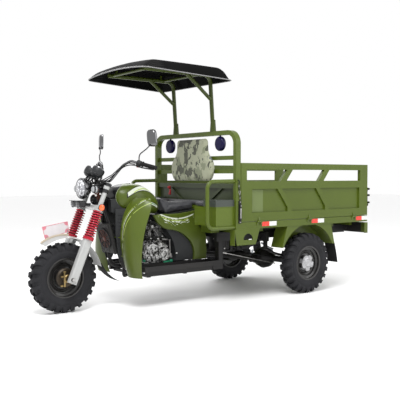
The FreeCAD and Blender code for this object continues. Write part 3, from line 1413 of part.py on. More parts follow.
def drive_line():
    """Reversing gearbox behind the engine and the shaft to the rear axle."""
    gearbox = rounded_box(-85, 85, 1320, 1400, 330, 470, 16)
    nose = WHEELBASE - AXLE_NOSE - SEAT_GAP
    shaft = rod(vec(0, 1396, 392), vec(0, nose - 30, AXLE_Z), 22)
    joints = [Part.makeCylinder(36, 46, vec(0, 1398, 392), Y_AXIS),
              Part.makeCylinder(40, 46, vec(0, nose - 46, AXLE_Z), Y_AXIS)]
    return fuse([gearbox, shaft] + joints)


def rear_axle():
    """Axle tube with the bulging final drive, brake plates and wheel spindles."""
    reach = REAR_TRACK / 2 - 64 - SWING_GAP
    tip = REAR_TRACK / 2 + 28
    half = [(0, 0), (0, 112), (60, 96), (118, 50), (150, REAR_TUBE_R), (reach - 16, REAR_TUBE_R),
            (reach - 16, REAR_DRUM_R), (reach, REAR_DRUM_R), (reach, REAR_SPINDLE_R + 8),
            (reach + SWING_GAP - 1, REAR_SPINDLE_R), (tip, REAR_SPINDLE_R), (tip, 0)]
    left = spun(half)
    nose = Part.makeCone(48, 74, 92, vec(0, -AXLE_NOSE, 0), Y_AXIS)
    whole = fuse([left, mirrored(left), nose])
    whole.translate(vec(0, WHEELBASE, AXLE_Z))
    return whole


def leaf_spring():
    """Stack of cambered leaves on the axle, clamped by a plate and hung by its ends."""
    leaves = []
    axle_top = AXLE_Z + REAR_TUBE_R
    for i in range(LEAF_COUNT):
        half = LEAF_SPAN / 2 * (1 - 0.2 * (LEAF_COUNT - 1 - i))
        rise = LEAF_CAMBER * (half / (LEAF_SPAN / 2)) ** 2
        low = axle_top + 6 + i * LEAF_T
        y = WHEELBASE
        curve = [(y - half, low + rise), (y, low), (y + half, low + rise)]
        back = [(a, b + LEAF_T) for a, b in curve]
        leaves.append(curved_face(LEAF_X - LEAF_W / 2,
                                  [curve, (curve[-1], back[-1]), back[::-1], (back[0], curve[0])])
                      .extrude(vec(LEAF_W, 0, 0)))
    x0, x1 = LEAF_X - LEAF_W / 2 - 5, LEAF_X + LEAF_W / 2 + 5
    clamp = box(x0, x1, WHEELBASE - 45, WHEELBASE + 45, axle_top + SEAT_GAP,
                axle_top + 6 + LEAF_COUNT * LEAF_T + 12)
    shackles = []
    end_z = axle_top + 6 + (LEAF_COUNT - 1) * LEAF_T + LEAF_CAMBER
    for s in (1, -1):
        y = WHEELBASE + s * (LEAF_SPAN / 2 - 6)
        shackles.append(box(LEAF_X - 16, LEAF_X + 16, y - 14, y + 14, end_z,
                            BED_RAIL_TOP - BED_RAIL_H - 24 - SEAT_GAP))
    return fuse(leaves + [clamp] + shackles)


def rear_mudguard():
    """Boxed guard round the arch of one rear wheel, with an inner skirt."""
    y = WHEELBASE
    top = BED_BOTTOM - SEAT_GAP
    foot = 455.0
    outline = [(y - 357, foot), (y - 292, top), (y + 318, top), (y + 372, foot)]
    inset = GUARD_SHEET
    inner = GUARD_INNER_X + inset
    arch = Part.makeCylinder(ARCH_R, 200, vec(inner, y, AXLE_Z), X_AXIS)
    block = side_prism(outline, GUARD_INNER_X, GUARD_PLATE_X).cut(arch)
    small = [(y - 357 + inset, foot - 1), (y - 292 + inset, top - inset),
             (y + 318 - inset, top - inset), (y + 372 - inset, foot - 1)]
    wide_arch = Part.makeCylinder(ARCH_R + inset, 200, vec(inner, y, AXLE_Z), X_AXIS)
    hollow = side_prism(small, inner, GUARD_PLATE_X - inset).cut(wide_arch)
    return block.cut(hollow)


def rear_mud_flap():
    y = WHEELBASE + 372
    x0 = GUARD_INNER_X + 16
    return flap_sheet(x0, GUARD_PLATE_X - 4, [(y - 3.5, 470), (y + 26, 370), (y + 48, 262)], 5)


def build():
    """Every node's shape by name, lengthwise places still from the front axle."""
    rubber = tyre()
    roof = canopy()
    tank = fuel_tank()
    front_rubber = rubber.copy()
    front_rubber.translate(vec(0, 0, AXLE_Z))
    return {
        "frame_backbone": frame_backbone(),
        "frame_side_tubes": frame_side_tubes(),
        "frame_cross_tubes": frame_cross_tubes(),
        "bed_rails": bed_rails(),
        "bed_cross_members": bed_cross_members(),
        "engine": engine(),
        "exhaust": exhaust(),
        "radiator": radiator(),
        "drive_line": drive_line(),
        "rear_axle": rear_axle(),
        "leaf_springs": pair(leaf_spring()),
        "fuel_tank": tank,
        "tank_shrouds": Part.makeCompound([tank_shroud(1, tank), tank_shroud(-1, tank)]),
        "driver_seat": driver_seat(),
        "side_covers": Part.makeCompound([side_cover(1), side_cover(-1)]),
        "under_seat_panel": under_seat_panel(),
        "leg_shields": Part.makeCompound([leg_shield(1), leg_shield(-1)]),
        "footboards": Part.makeCompound([footboard(1), footboard(-1)]),
        "seat_box": seat_box(),
        "bench_cushion": bench_cushion(),
        "armrests": Part.makeCompound([armrest(1), armrest(-1)]),
        "headboard": headboard(),
        "backrest": backrest(),
        "canopy_frame": canopy_frame(roof),
        "canopy": roof,
        "hoop_lamps": Part.makeCompound([hoop_lamp(1), hoop_lamp(-1)]),
        "bed_floor": bed_floor(),
        "bed_brackets": pair(bed_bracket()),
        "rear_mudguards": pair(rear_mudguard()),
        "rear_mud_flaps": pair(rear_mud_flap()),
        "rear_bumper": rear_bumper(),
        "tail_lamps": tail_lamps(),
        "side_board_left": side_board(1),
        "side_board_right": side_board(-1),
        "tailgate": tailgate(),
        "fork_yokes": fork_yokes(),
        "fork_legs": fork_legs(),
        "fork_springs": Part.makeCompound([fork_spring(1), fork_spring(-1)]),
        "front_axle": front_axle(),
        "handlebar": handlebar(),
        "grips": grips(),
        "mirrors": mirrors(),
        "headlamp": headlamp(),
        "gauges": gauges(),
        "turn_signals": Part.makeCompound([turn_signal(1), turn_signal(-1)]),
        "lamp_pod": lamp_pod(),
        "control_cables": control_cables(),
        "front_mudguard": front_mudguard(),
        "front_mud_flap": front_mud_flap(),
        "front_tyre": front_rubber,
        "front_rim": front_wheel_rim(),
        "rear_tyre_left": rear_tyre(1, rubber),
        "rear_rim_left": rear_rim(1),
        "rear_tyre_right": rear_tyre(-1, rubber),
        "rear_rim_right": rear_rim(-1),
    }


def main():
    os.makedirs("parts", exist_ok=True)
    for name, shape in build().items():
        shape.translate(vec(0, -ORIGIN_Y, 0))
        shape.exportStep("parts/" + name + ".step")
        print(name, len(shape.Solids), round(shape.Volume))


if __name__ == "__main__":
    main()
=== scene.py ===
import json
import math

import bpy
from mathutils import Euler, Matrix, Vector


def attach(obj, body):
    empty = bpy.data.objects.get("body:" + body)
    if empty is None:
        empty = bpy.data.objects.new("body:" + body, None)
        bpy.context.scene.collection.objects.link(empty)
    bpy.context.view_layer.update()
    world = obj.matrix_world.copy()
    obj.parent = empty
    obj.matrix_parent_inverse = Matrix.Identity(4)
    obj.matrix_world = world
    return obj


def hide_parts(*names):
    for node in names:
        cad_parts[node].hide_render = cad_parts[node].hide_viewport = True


# A cargo motor tricycle, dressed over its fixed frame. Metres, +Z up, +Y to the rear,
# +X to the rider's left. The origin is in the middle of the footprint on the ground.

bl_info = {
    "name": "Cargo tricycle dressing",
    "version": (1, 0, 0),
    "blender": (4, 5, 0),
    "location": "3D View > Sidebar > Tricycle",
    "description": "Seats, tyres, lamps, trim and finishes for the cargo tricycle",
    "category": "Object",
}

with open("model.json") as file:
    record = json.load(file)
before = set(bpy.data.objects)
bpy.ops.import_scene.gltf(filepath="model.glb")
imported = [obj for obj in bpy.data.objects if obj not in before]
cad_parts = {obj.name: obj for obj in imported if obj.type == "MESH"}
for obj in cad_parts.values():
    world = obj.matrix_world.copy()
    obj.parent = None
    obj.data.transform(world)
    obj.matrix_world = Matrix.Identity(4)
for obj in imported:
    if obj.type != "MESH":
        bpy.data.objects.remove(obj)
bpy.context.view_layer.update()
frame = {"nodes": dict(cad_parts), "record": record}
NODES = frame["nodes"]

FRONT = -1.44175
AXLE_Z = 0.2875
WHEELBASE = 2.278
HALF_TRACK = 0.565
RAKE = math.radians(23.0)
FORK_BACK = 0.020
FORK_HALF = 0.145
ENGINE_BACK, ENGINE_Z = 0.838, 0.520
ENGINE_LEAN = math.radians(12.0)
MERGE_GAP = 0.00002
SOFT_STEPS = 20


def at(x, back, z):
    """A point given by its distance behind the front axle."""
    return Vector((x, back + FRONT, z))


def fork_at(x, back, along):
    """A point of the upright fork drawing on the leaning fork."""
    y = FORK_BACK + back * math.cos(RAKE) + along * math.sin(RAKE)
    return at(x, y, AXLE_Z - back * math.sin(RAKE) + along * math.cos(RAKE))


def engine_at(x, back, up):
    """A point of the upright cylinder drawing on the leaning engine."""
    sine, cosine = math.sin(ENGINE_LEAN), math.cos(ENGINE_LEAN)
    return at(x, ENGINE_BACK + back * cosine - up * sine, ENGINE_Z + back * sine + up * cosine)


FORK_UP = fork_at(0, 0, 1) - fork_at(0, 0, 0)


# Modelling helpers

def deselect():
    """Leave edit mode and clear the selection."""
    active = bpy.context.view_layer.objects.active
    if active is not None and active.mode != "OBJECT":
        bpy.ops.object.mode_set(mode="OBJECT")
    bpy.ops.object.select_all(action="DESELECT")


def pick(*pieces):
    """Select these pieces alone, the first one active."""
    deselect()
    for piece in pieces:
        piece.select_set(True)
    bpy.context.view_layer.objects.active = pieces[0]
    return pieces[0]


def take(name):
    """Name the piece that was just added and put its place into its mesh."""
    piece = bpy.context.object
    piece.name = name
    piece.data.name = name
    bpy.ops.object.transform_apply(location=True, rotation=True, scale=True)
    return piece


def block(name, low, high):
    """A box between two opposite corners."""
    low, high = Vector(low), Vector(high)
    deselect()
    bpy.ops.mesh.primitive_cube_add(size=1, location=(low + high) / 2, scale=high - low)
    return take(name)


def rod(name, start, end, radius, sides=24):
    """A cylinder from start to end."""
    start, end = Vector(start), Vector(end)
    turn = (end - start).to_track_quat("Z", "Y").to_euler()
    deselect()
    bpy.ops.mesh.primitive_cone_add(vertices=sides, radius1=radius, radius2=radius,
                                    depth=(end - start).length, location=(start + end) / 2,
                                    rotation=turn)
    return take(name)


def ball(name, centre, scale, segments):
    """An ellipsoid with its three half sizes in scale."""
    deselect()
    bpy.ops.mesh.primitive_uv_sphere_add(segments=segments, ring_count=segments // 2,
                                         location=centre, scale=scale)
    return take(name)


def outline(name, points, fill=False):
    """A ring of corners, one for each point, moved to its place."""
    deselect()
    bpy.ops.mesh.primitive_circle_add(vertices=len(points), radius=1,
                                      fill_type="NGON" if fill else "NOTHING")
    piece = take(name)
    for corner, point in zip(piece.data.vertices, points):
        corner.co = point
    return piece


def edit(piece, *steps):
    """Run edit-mode steps with everything selected; each step is (operator, options)."""
    pick(piece)
    bpy.ops.object.mode_set(mode="EDIT")
    bpy.ops.mesh.select_mode(type="VERT")
    for operator, options in steps:
        bpy.ops.mesh.select_all(action="SELECT")
        operator(**options)
    bpy.ops.object.mode_set(mode="OBJECT")
    return piece


def tidy_normals(piece):
    """Merge doubled corners, drop loose ones and turn every face outwards."""
    return edit(piece, (bpy.ops.mesh.remove_doubles, {"threshold": MERGE_GAP}),
                (bpy.ops.mesh.delete_loose, {}),
                (bpy.ops.mesh.normals_make_consistent, {"inside": False}))


def turned(name, profile, centre, axis, steps):
    """A closed profile of points, spun round an axis through centre."""
    piece = outline(name, profile)
    edit(piece, (bpy.ops.mesh.spin, {"steps": steps, "angle": 2 * math.pi, "dupli": False,
                                     "center": centre, "axis": axis}))
    return tidy_normals(piece)


def slab(name, points, push):
    """A filled outline extruded by a vector."""
    piece = outline(name, points, fill=True)
    pick(piece)
    bpy.ops.object.mode_set(mode="EDIT")
    bpy.ops.mesh.select_all(action="SELECT")
    bpy.ops.mesh.extrude_region_move(TRANSFORM_OT_translate={"value": push})
    bpy.ops.object.mode_set(mode="OBJECT")
    return tidy_normals(piece)


def modify(piece, kind, **settings):
    """Add one modifier, set it and apply it."""
    pick(piece)
    modifier = piece.modifiers.new(kind.title(), kind)
    for key, value in settings.items():
        setattr(modifier, key, value)
    bpy.ops.object.modifier_apply(modifier=modifier.name)
    return piece


def rounded(piece, width, segments=2, angle=35):
    """Bevel the edges that are sharper than an angle in degrees."""
    return modify(piece, "BEVEL", width=width, segments=segments, limit_method="ANGLE",
                  angle_limit=math.radians(angle))


def smooth(piece, angle=38):
    """Shade smooth, with a crease where faces meet at more than an angle in degrees."""
    pick(piece)
    bpy.ops.object.shade_smooth_by_angle(angle=math.radians(angle))
    return piece


def join(name, pieces):
    """One piece from several, under a name of its own."""
    pick(*pieces)
    if len(pieces) > 1:
        bpy.ops.object.join()
    piece = bpy.context.view_layer.objects.active
    piece.name = name
    piece.data.name = name
    return piece


def copy_of(piece, name, matrix):
    """A copy with its own mesh, moved by a matrix."""
    pick(piece)
    bpy.ops.object.duplicate()
    twin = bpy.context.view_layer.objects.active
    twin.name = name
    twin.data.name = name
    twin.data.transform(matrix)
    if matrix.determinant() < 0:
        edit(twin, (bpy.ops.mesh.flip_normals, {}))
    return twin


MIRROR = Matrix.Scale(-1, 4, (1, 0, 0))


def wire(name, points, radius, sides=4):
    """A cable or pipe along a smooth line through a few points."""
    deselect()
    bpy.ops.curve.primitive_nurbs_path_add()
    line = bpy.context.object
    spline = line.data.splines[0]
    missing = len(points) - len(spline.points)
    if missing > 0:
        spline.points.add(missing)
    while len(points) < len(spline.points):
        points = points[:-1] + [(Vector(points[-2]) + Vector(points[-1])) / 2, points[-1]]
    for corner, point in zip(spline.points, points):
        corner.co = (*point, 1.0)
    spline.order_u = 4
    spline.use_endpoint_u = True
    line.data.resolution_u = 10
    line.data.bevel_depth = radius
    line.data.bevel_resolution = sides
    line.data.use_fill_caps = True
    bpy.ops.object.convert(target="MESH")
    return smooth(take(name), 60)


def facing(axis):
    """The turn that lays the Z axis along another one."""
    return Vector(axis).to_track_quat("Z", "Y").to_matrix().to_4x4()


def disc(name, centre, axis, profile, steps=32):
    """A turned piece: its (radius, height) profile stands on centre and rises along axis."""
    piece = turned(name, [Vector((r, 0, h)) for r, h in profile], (0, 0, 0), (0, 0, 1), steps)
    piece.data.transform(Matrix.Translation(centre) @ facing(axis))
    return piece


def moved(piece, matrix):
    """The same piece, with a matrix put into its mesh."""
    piece.data.transform(matrix)
    return piece


def spokes(piece, count, centre, axis):
    """Copies of a piece modelled round the Z axis, laid round a centre along another axis."""
    place = Matrix.Translation(centre) @ facing(axis)
    ring = [copy_of(piece, piece.name, place @ Matrix.Rotation(2 * math.pi * i / count, 4, "Z"))
            for i in range(count)]
    bpy.data.objects.remove(piece)
    return ring


def bolts(name, spots, axis, radius, height):
    """Hexagon heads: one is modelled and copied to each spot."""
    first = rounded(rod(name, (0, 0, 0), (0, 0, height), radius, 6), radius * 0.14, 1)
    pieces = [copy_of(first, name, Matrix.Translation(spot) @ facing(axis)) for spot in spots]
    bpy.data.objects.remove(first)
    return pieces


def both_sides(pieces):
    """The pieces of the left side and their mirror images."""
    return pieces + [copy_of(piece, piece.name + "_right", MIRROR) for piece in pieces]


def bar(name, low, high, edge, segments=2):
    """A box with rounded edges between two places behind the front axle."""
    return rounded(block(name, at(*low), at(*high)), edge, segments)


def sheet(name, x, thickness, edge, points):
    """A plate across X with rounded edges, cut to (back, height) points."""
    return rounded(slab(name, [at(x, back, z) for back, z in points], (thickness, 0, 0)), edge)


def hose(name, radius, *places):
    """A cable or pipe on a smooth line through places behind the front axle."""
    return wire(name, [at(*place) for place in places], radius, 3)


def fitted(name, pieces, slot, body, *nodes, finish=None, angle=38):
    """Join the pieces of one material and put them on their body."""
    piece = smooth(join(name, pieces), angle)
    return finish_piece(piece, FINISHES[finish or slot].material, body, slot, *nodes)


def finish_piece(piece, material, body, slot, *nodes):
    """Give a piece its material, its body and the nodes that it stands for; slot is not used."""
    piece.data.materials.clear()
    piece.data.materials.append(material)
    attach(piece, body)
    if nodes:
        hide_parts(*nodes)
    return piece


# Finishes

class Value:
    """One output of a shader node; Python's operators add the Math nodes."""

    def __init__(self, finish, socket):
        self.finish = finish
        self.socket = socket

    def math(self, operation, *others):
        inputs = dict(enumerate((self,) + others))
        return self.finish.add("ShaderNodeMath", {"operation": operation}, inputs)

    def __add__(self, other):
        return self.math("ADD", other)

    __radd__ = __add__

    def __mul__(self, other):
        return self.math("MULTIPLY", other)

    __rmul__ = __mul__

    def __sub__(self, other):
        return self.math("SUBTRACT", other)

    def __rsub__(self, other):
        return self.finish.add("ShaderNodeMath", {"operation": "SUBTRACT"}, {0: other, 1: self})

    def __truediv__(self, other):
        return self.math("DIVIDE", other)

    def above(self, level, soft=0.02):
        """0 below the level, 1 above it, with a soft step between."""
        return ((self - (level - soft / 2)) / soft).math("MINIMUM", 1.0).math("MAXIMUM", 0.0)

    def band(self, low, high, soft):
        """1 between two levels, 0 outside them."""
        return self.above(low, soft) * (1.0 - self.above(high, soft))

    def near(self, target, reach, soft=0.002):
        """1 within reach of a number or of another value, 0 beyond it."""
        return 1.0 - (self - target).math("ABSOLUTE").above(reach, soft)


class Finish:
    """A procedural material: fixed shader values first, then what changes over the surface."""

    def __init__(self, name, color, roughness, **settings):
        self.material = bpy.data.materials.new(name)
        self.material.use_nodes = True
        self.material.diffuse_color = (*color[:3], 1.0)
        self.tree = self.material.node_tree
        self.shader = self.tree.nodes["Principled BSDF"]
        self.shader.inputs["Base Color"].default_value = (*color[:3], 1.0)
        self.shader.inputs["Roughness"].default_value = roughness
        for key, value in settings.items():
            socket = key.replace("_", " ").title().replace("Ior", "IOR")
            self.shader.inputs[socket].default_value = value
        self._place = None

    def add(self, kind, settings, inputs, output=0):
        """A new shader node with its settings and inputs; returns one of its outputs."""
        node = self.tree.nodes.new(kind)
        for key, value in settings.items():
            setattr(node, key, value)
        for key, value in inputs.items():
            self.link(value, node.inputs[key])
        return Value(self, node.outputs[output])

    def link(self, value, socket):
        """Feed a socket from another node's output, or from a plain number or colour."""
        if isinstance(value, Value):
            self.tree.links.new(value.socket, socket)
        else:
            socket.default_value = value

    def feed(self, name, value):
        self.link(value, self.shader.inputs[name])

    def place(self):
        """The point of the surface, in the frame's own metres."""
        if self._place is None:
            node = self.tree.nodes.new("ShaderNodeTexCoord")
            self._place = Value(self, node.outputs["Object"])
        return self._place

    def axis(self, letter):
        return self.add("ShaderNodeSeparateXYZ", {}, {0: self.place()}, "XYZ".index(letter))

    def back(self):
        """Distance behind the front axle."""
        return self.axis("Y") - FRONT

    def side(self):
        """Distance from the vehicle's middle plane."""
        return self.axis("X").math("ABSOLUTE")

    def reach(self, centre):
        """Distance from a point of the (y, z) plane."""
        y = self.axis("Y") - centre[0]
        z = self.axis("Z") - centre[1]
        return (y * y + z * z).math("SQRT")

    def mapped(self, scale, location=(0, 0, 0)):
        return self.add("ShaderNodeMapping", {}, {"Vector": self.place(), "Location": location,
                                                  "Scale": scale})

    def noise(self, scale, detail=3.0, roughness=0.5, vector=None):
        return self.add("ShaderNodeTexNoise", {},
                        {"Vector": vector or self.place(), "Scale": scale, "Detail": detail,
                         "Roughness": roughness})

    def cells(self, scale, feature="F1"):
        return self.add("ShaderNodeTexVoronoi", {"feature": feature},
                        {"Vector": self.place(), "Scale": scale})

    def mix(self, factor, first, second):
        def four(value):
            return value if isinstance(value, Value) else (*value[:3], 1.0)
        return self.add("ShaderNodeMix", {"data_type": "RGBA"},
                        {0: factor, 6: four(first), 7: four(second)}, 2)

    def bump(self, height, strength, distance):
        self.feed("Normal", self.add("ShaderNodeBump", {}, {"Height": height, "Strength": strength,
                                                            "Distance": distance}))


def shade(color, factor):
    """A colour made darker or lighter."""
    return tuple(min(1.0, part * factor) for part in color[:3])


def worn_paint(name, color, roughness=0.34, coat=0.10, dust=0.25, marks=(), level=0.25):
    """Sprayed paint: faint orange peel, uneven gloss, and road dust towards the ground.

    marks are (mask, colour) pairs of plain stripes, laid over the paint in order.
    """
    paint = Finish(name, color, roughness, coat_weight=coat, coat_roughness=0.12,
                   specular_ior_level=level)
    cloud = paint.noise(2.2, 4.0)
    fine = paint.noise(38.0, 3.0)
    low = 1.0 - paint.axis("Z").above(0.45, 0.8)
    soil = (low * cloud.above(0.5, 0.35)) * dust
    tone = paint.mix(cloud, shade(color, 0.86), shade(color, 1.14))
    for mask, stripe in marks:
        tone = paint.mix(mask(paint), tone, stripe)
    paint.feed("Base Color", paint.mix(soil, tone, (0.10, 0.085, 0.065)))
    paint.feed("Roughness", fine * 0.12 + soil * 0.4 + (roughness - 0.06))
    paint.bump(paint.noise(240.0, 2.0), 0.06, 0.0006)
    return paint


def rubber_finish(name, color, roughness=0.78, scale=320.0):
    """Dull rubber with paler, dusty patches."""
    rubber = Finish(name, color, roughness, specular_ior_level=0.18)
    cloud = rubber.noise(7.0, 5.0)
    rubber.feed("Base Color", rubber.mix(cloud.above(0.45, 0.3) * 0.5, color, shade(color, 2.1)))
    rubber.feed("Roughness", cloud * 0.18 + (roughness - 0.09))
    rubber.bump(rubber.noise(scale, 3.0), 0.25, 0.0008)
    return rubber


def cast_metal(name, color, roughness=0.42):
    """Bare metal with cloudy grime."""
    metal = Finish(name, color, roughness, metallic=0.9)
    cloud = metal.noise(14.0, 5.0)
    grime = metal.noise(5.0, 4.0).above(0.55, 0.25)
    tone = metal.mix(cloud, shade(color, 0.75), shade(color, 1.15))
    metal.feed("Base Color", metal.mix(grime * 0.55, tone, (0.06, 0.055, 0.05)))
    metal.feed("Roughness", cloud * 0.25 + grime * 0.2 + (roughness - 0.12))
    metal.bump(metal.noise(420.0, 2.0), 0.35, 0.0006)
    return metal


def speckled_alloy(name, color):
    """Polished castings with dark pores and oily grime in random patches."""
    metal = Finish(name, color, 0.28, metallic=0.85)
    cloud = metal.noise(46.0, 4.0, 0.6)
    grime = metal.noise(21.0, 5.0, 0.65)
    tone = metal.mix(cloud, shade(color, 0.55), shade(color, 1.3))
    metal.feed("Base Color", metal.mix(grime.above(0.50, 0.10), tone, (0.014, 0.013, 0.012)))
    metal.feed("Roughness", grime * 0.4 + 0.10)
    metal.bump(metal.noise(75.0, 4.0), 0.5, 0.003)
    return metal


def moulded(name, color, roughness, grain=0.3, scale=900.0, coat=0.0):
    """Moulded plastic with a fine grain."""
    plastic = Finish(name, color, roughness, coat_weight=coat, coat_roughness=0.1,
                     specular_ior_level=0.3)
    cloud = plastic.noise(3.0, 3.0)
    plastic.feed("Base Color", plastic.mix(cloud, shade(color, 0.8), shade(color, 1.25)))
    plastic.feed("Roughness", plastic.noise(11.0, 3.0) * 0.2 + (roughness - 0.1))
    plastic.bump(plastic.cells(scale), grain, 0.0004)
    return plastic


def bright(name, color, roughness=0.12):
    """Plated metal with faint smears."""
    metal = Finish(name, color, roughness, metallic=1.0)
    smear = metal.noise(9.0, 4.0)
    metal.feed("Roughness", smear * 0.16 + (roughness - 0.05))
    metal.feed("Base Color", metal.mix(smear, shade(color, 0.88), color))
    metal.bump(metal.noise(130.0, 2.0), 0.05, 0.0004)
    return metal


def lens(name, color, roughness, rib, coat=0.8, level=0.5):
    """Moulded lamp plastic with fine prisms behind its skin."""
    clear = Finish(name, color, roughness, coat_weight=coat, coat_roughness=0.03,
                   specular_ior_level=level)
    cloud = clear.noise(6.0, 2.0)
    clear.feed("Base Color", clear.mix(cloud, shade(color, 0.82), shade(color, 1.1)))
    clear.feed("Roughness", cloud * 0.06 + roughness)
    clear.bump(clear.cells(rib, feature="DISTANCE_TO_EDGE"), 0.5, 0.002)
    return clear


def sewn_vinyl(name, color):
    """Seat vinyl with a leather grain."""
    vinyl = Finish(name, color, 0.42, sheen_weight=0.05)
    cloud = vinyl.noise(6.0, 3.0)
    vinyl.feed("Base Color", vinyl.mix(cloud, shade(color, 0.8), shade(color, 1.4)))
    vinyl.feed("Roughness", vinyl.noise(14.0, 3.0) * 0.2 + 0.32)
    grain = vinyl.cells(520.0)
    vinyl.bump(grain + vinyl.noise(900.0, 2.0) * 0.4, 0.35, 0.0009)
    return vinyl


def blotched_cloth(name, base, dark, olive, blue):
    """Woven cover with a generic pattern of overlapping blotches."""
    cloth = Finish(name, base, 0.75, sheen_weight=0.12)
    stretch = cloth.mapped(scale=(1.0, 0.4, 0.62))
    color = cloth.mix(cloth.noise(8.0, 4.0, 0.6, stretch).above(0.58, 0.004), base, olive)
    shifted = cloth.mapped(location=(3.1, 0.7, 1.9), scale=(1.0, 0.4, 0.55))
    color = cloth.mix(cloth.noise(10.0, 4.0, 0.6, shifted).above(0.635, 0.004), color, blue)
    centre = 0.060 - cloth.side() * 0.35
    moved = cloth.mapped(location=(7.3, 2.2, 4.4), scale=(1.0, 0.4, 0.66))
    blots = cloth.noise(17.0, 3.0, 0.55, moved) + centre
    color = cloth.mix(blots.above(0.545, 0.004), color, shade(dark, 0.55))
    color = cloth.mix(blots.above(0.600, 0.004), color, dark)
    cloth.feed("Base Color", cloth.mix(cloth.noise(60.0, 2.0) * 0.25, color, shade(base, 0.6)))
    warp = cloth.add("ShaderNodeTexWave", {"bands_direction": "X"},
                     {"Vector": cloth.place(), "Scale": 260.0})
    weft = cloth.add("ShaderNodeTexWave", {"bands_direction": "Z"},
                     {"Vector": cloth.place(), "Scale": 260.0})
    cloth.feed("Roughness", warp * 0.1 + 0.68)
    cloth.bump(warp + weft, 0.3, 0.0006)
    return cloth


def glass_with_painted_glints(name):
    """Clear lamp glass over a reflector of many small facets, its glints and dark reflections painted
    into the colour.
    """
    glass = Finish(name, (0.5, 0.5, 0.52), 0.12, coat_weight=1.0, coat_roughness=0.02)
    facets = glass.cells(62.0)
    coarse = glass.noise(34.0, 1.0)
    # Pale and dark facets and the dark patches are painted highlights and reflections of the
    # reflector.
    tone = glass.mix(facets.above(0.42, 0.25), (0.80, 0.81, 0.83), (0.26, 0.26, 0.28))
    glass.feed("Base Color", glass.mix(coarse.above(0.60, 0.06), tone, (0.05, 0.05, 0.06)))
    glass.feed("Roughness", facets * 0.2 + 0.08)
    glass.bump(glass.cells(62.0, feature="DISTANCE_TO_EDGE"), 0.4, 0.002)
    return glass


def finned_core(name):
    """Black radiator core: flat tubes across and fine fins between them."""
    core = Finish(name, (0.012, 0.012, 0.012), 0.5, specular_ior_level=0.3)
    fins = core.add("ShaderNodeTexWave", {"bands_direction": "X"},
                    {"Vector": core.place(), "Scale": 90.0})
    tubes = core.add("ShaderNodeTexWave", {"bands_direction": "Z"},
                     {"Vector": core.place(), "Scale": 26.0})
    core.feed("Base Color", core.mix(fins * tubes, (0.006, 0.006, 0.006), (0.035, 0.033, 0.03)))
    core.feed("Roughness", core.noise(18.0, 3.0) * 0.3 + 0.35)
    core.bump(fins + tubes, 0.6, 0.002)
    return core


def beaded_tape(name, color):
    """Reflecting tape with a printed honeycomb of small cells."""
    tape = Finish(name, color, 0.25, coat_weight=0.5, coat_roughness=0.08)
    edge = tape.cells(190.0, feature="DISTANCE_TO_EDGE")
    tape.feed("Base Color", tape.mix(edge.above(0.09, 0.05), shade(color, 0.72), color))
    tape.feed("Roughness", tape.noise(30.0, 2.0) * 0.2 + 0.18)
    tape.bump(edge, 0.2, 0.0006)
    return tape


def ribbed_shell(name, color):
    """Black roof moulding: fine ribs over its front face, painted paler as a painted highlight on
    their crests; plain grain behind.
    """
    shell = Finish(name, color, 0.42, specular_ior_level=0.0, coat_weight=0.03,
                   coat_roughness=0.12)
    cloud = shell.noise(2.4, 4.0)
    shell.feed("Roughness", shell.noise(9.0, 3.0) * 0.22 + 0.32)
    ribs = shell.add("ShaderNodeTexWave", {"bands_direction": "X"},
                     {"Vector": shell.place(), "Scale": 22.0})
    front = 1.0 - shell.back().above(0.66, 0.06)
    tone = shell.mix(cloud, shade(color, 0.8), shade(color, 1.8))
    # The ribs are painted four times paler than the roof: a painted highlight on their crests.
    shell.feed("Base Color", shell.mix(ribs * front, tone, shade(color, 4.0)))
    shell.bump(ribs * front * 0.3 + shell.noise(160.0, 2.0) * 0.1, 0.1, 0.001)
    return shell


def wheel_paint(name, color, hub, centre, reach):
    """Painted rim whose hub cover shows another colour."""
    paint = Finish(name, color, 0.3, coat_weight=0.4, coat_roughness=0.1, specular_ior_level=0.35)
    radius = paint.reach(centre)
    grime = paint.noise(16.0, 4.0).above(0.5, 0.3)
    tone = paint.mix(1.0 - radius.above(reach, 0.002), color, hub)
    paint.feed("Base Color", paint.mix(grime * 0.25, tone, (0.034, 0.030, 0.027)))
    paint.feed("Metallic", (1.0 - radius.above(reach, 0.002)) * 0.6)
    paint.feed("Roughness", grime * 0.25 + 0.25)
    paint.bump(paint.noise(300.0, 2.0), 0.12, 0.0006)
    return paint


def corner_plate(name):
    """Blank white plate with tinted corners."""
    plate = Finish(name, (0.72, 0.71, 0.71), 0.35, coat_weight=0.3, coat_roughness=0.1)
    corners = plate.reach(at(0, -0.170, 0.708).yz).above(0.024, 0.004)
    for back, z in ((0.038, 0.740), (0.046, 0.668), (-0.148, 0.625)):
        corners = corners * plate.reach(at(0, back, z).yz).above(0.024, 0.004)
    cloud = plate.noise(20.0, 3.0)
    tone = plate.mix(cloud * 0.6, (0.56, 0.53, 0.54), (0.42, 0.40, 0.41))
    plate.feed("Base Color", plate.mix(corners, (0.52, 0.16, 0.20), tone))
    plate.feed("Roughness", cloud * 0.2 + 0.25)
    plate.bump(plate.noise(160.0, 2.0), 0.1, 0.0008)
    return plate


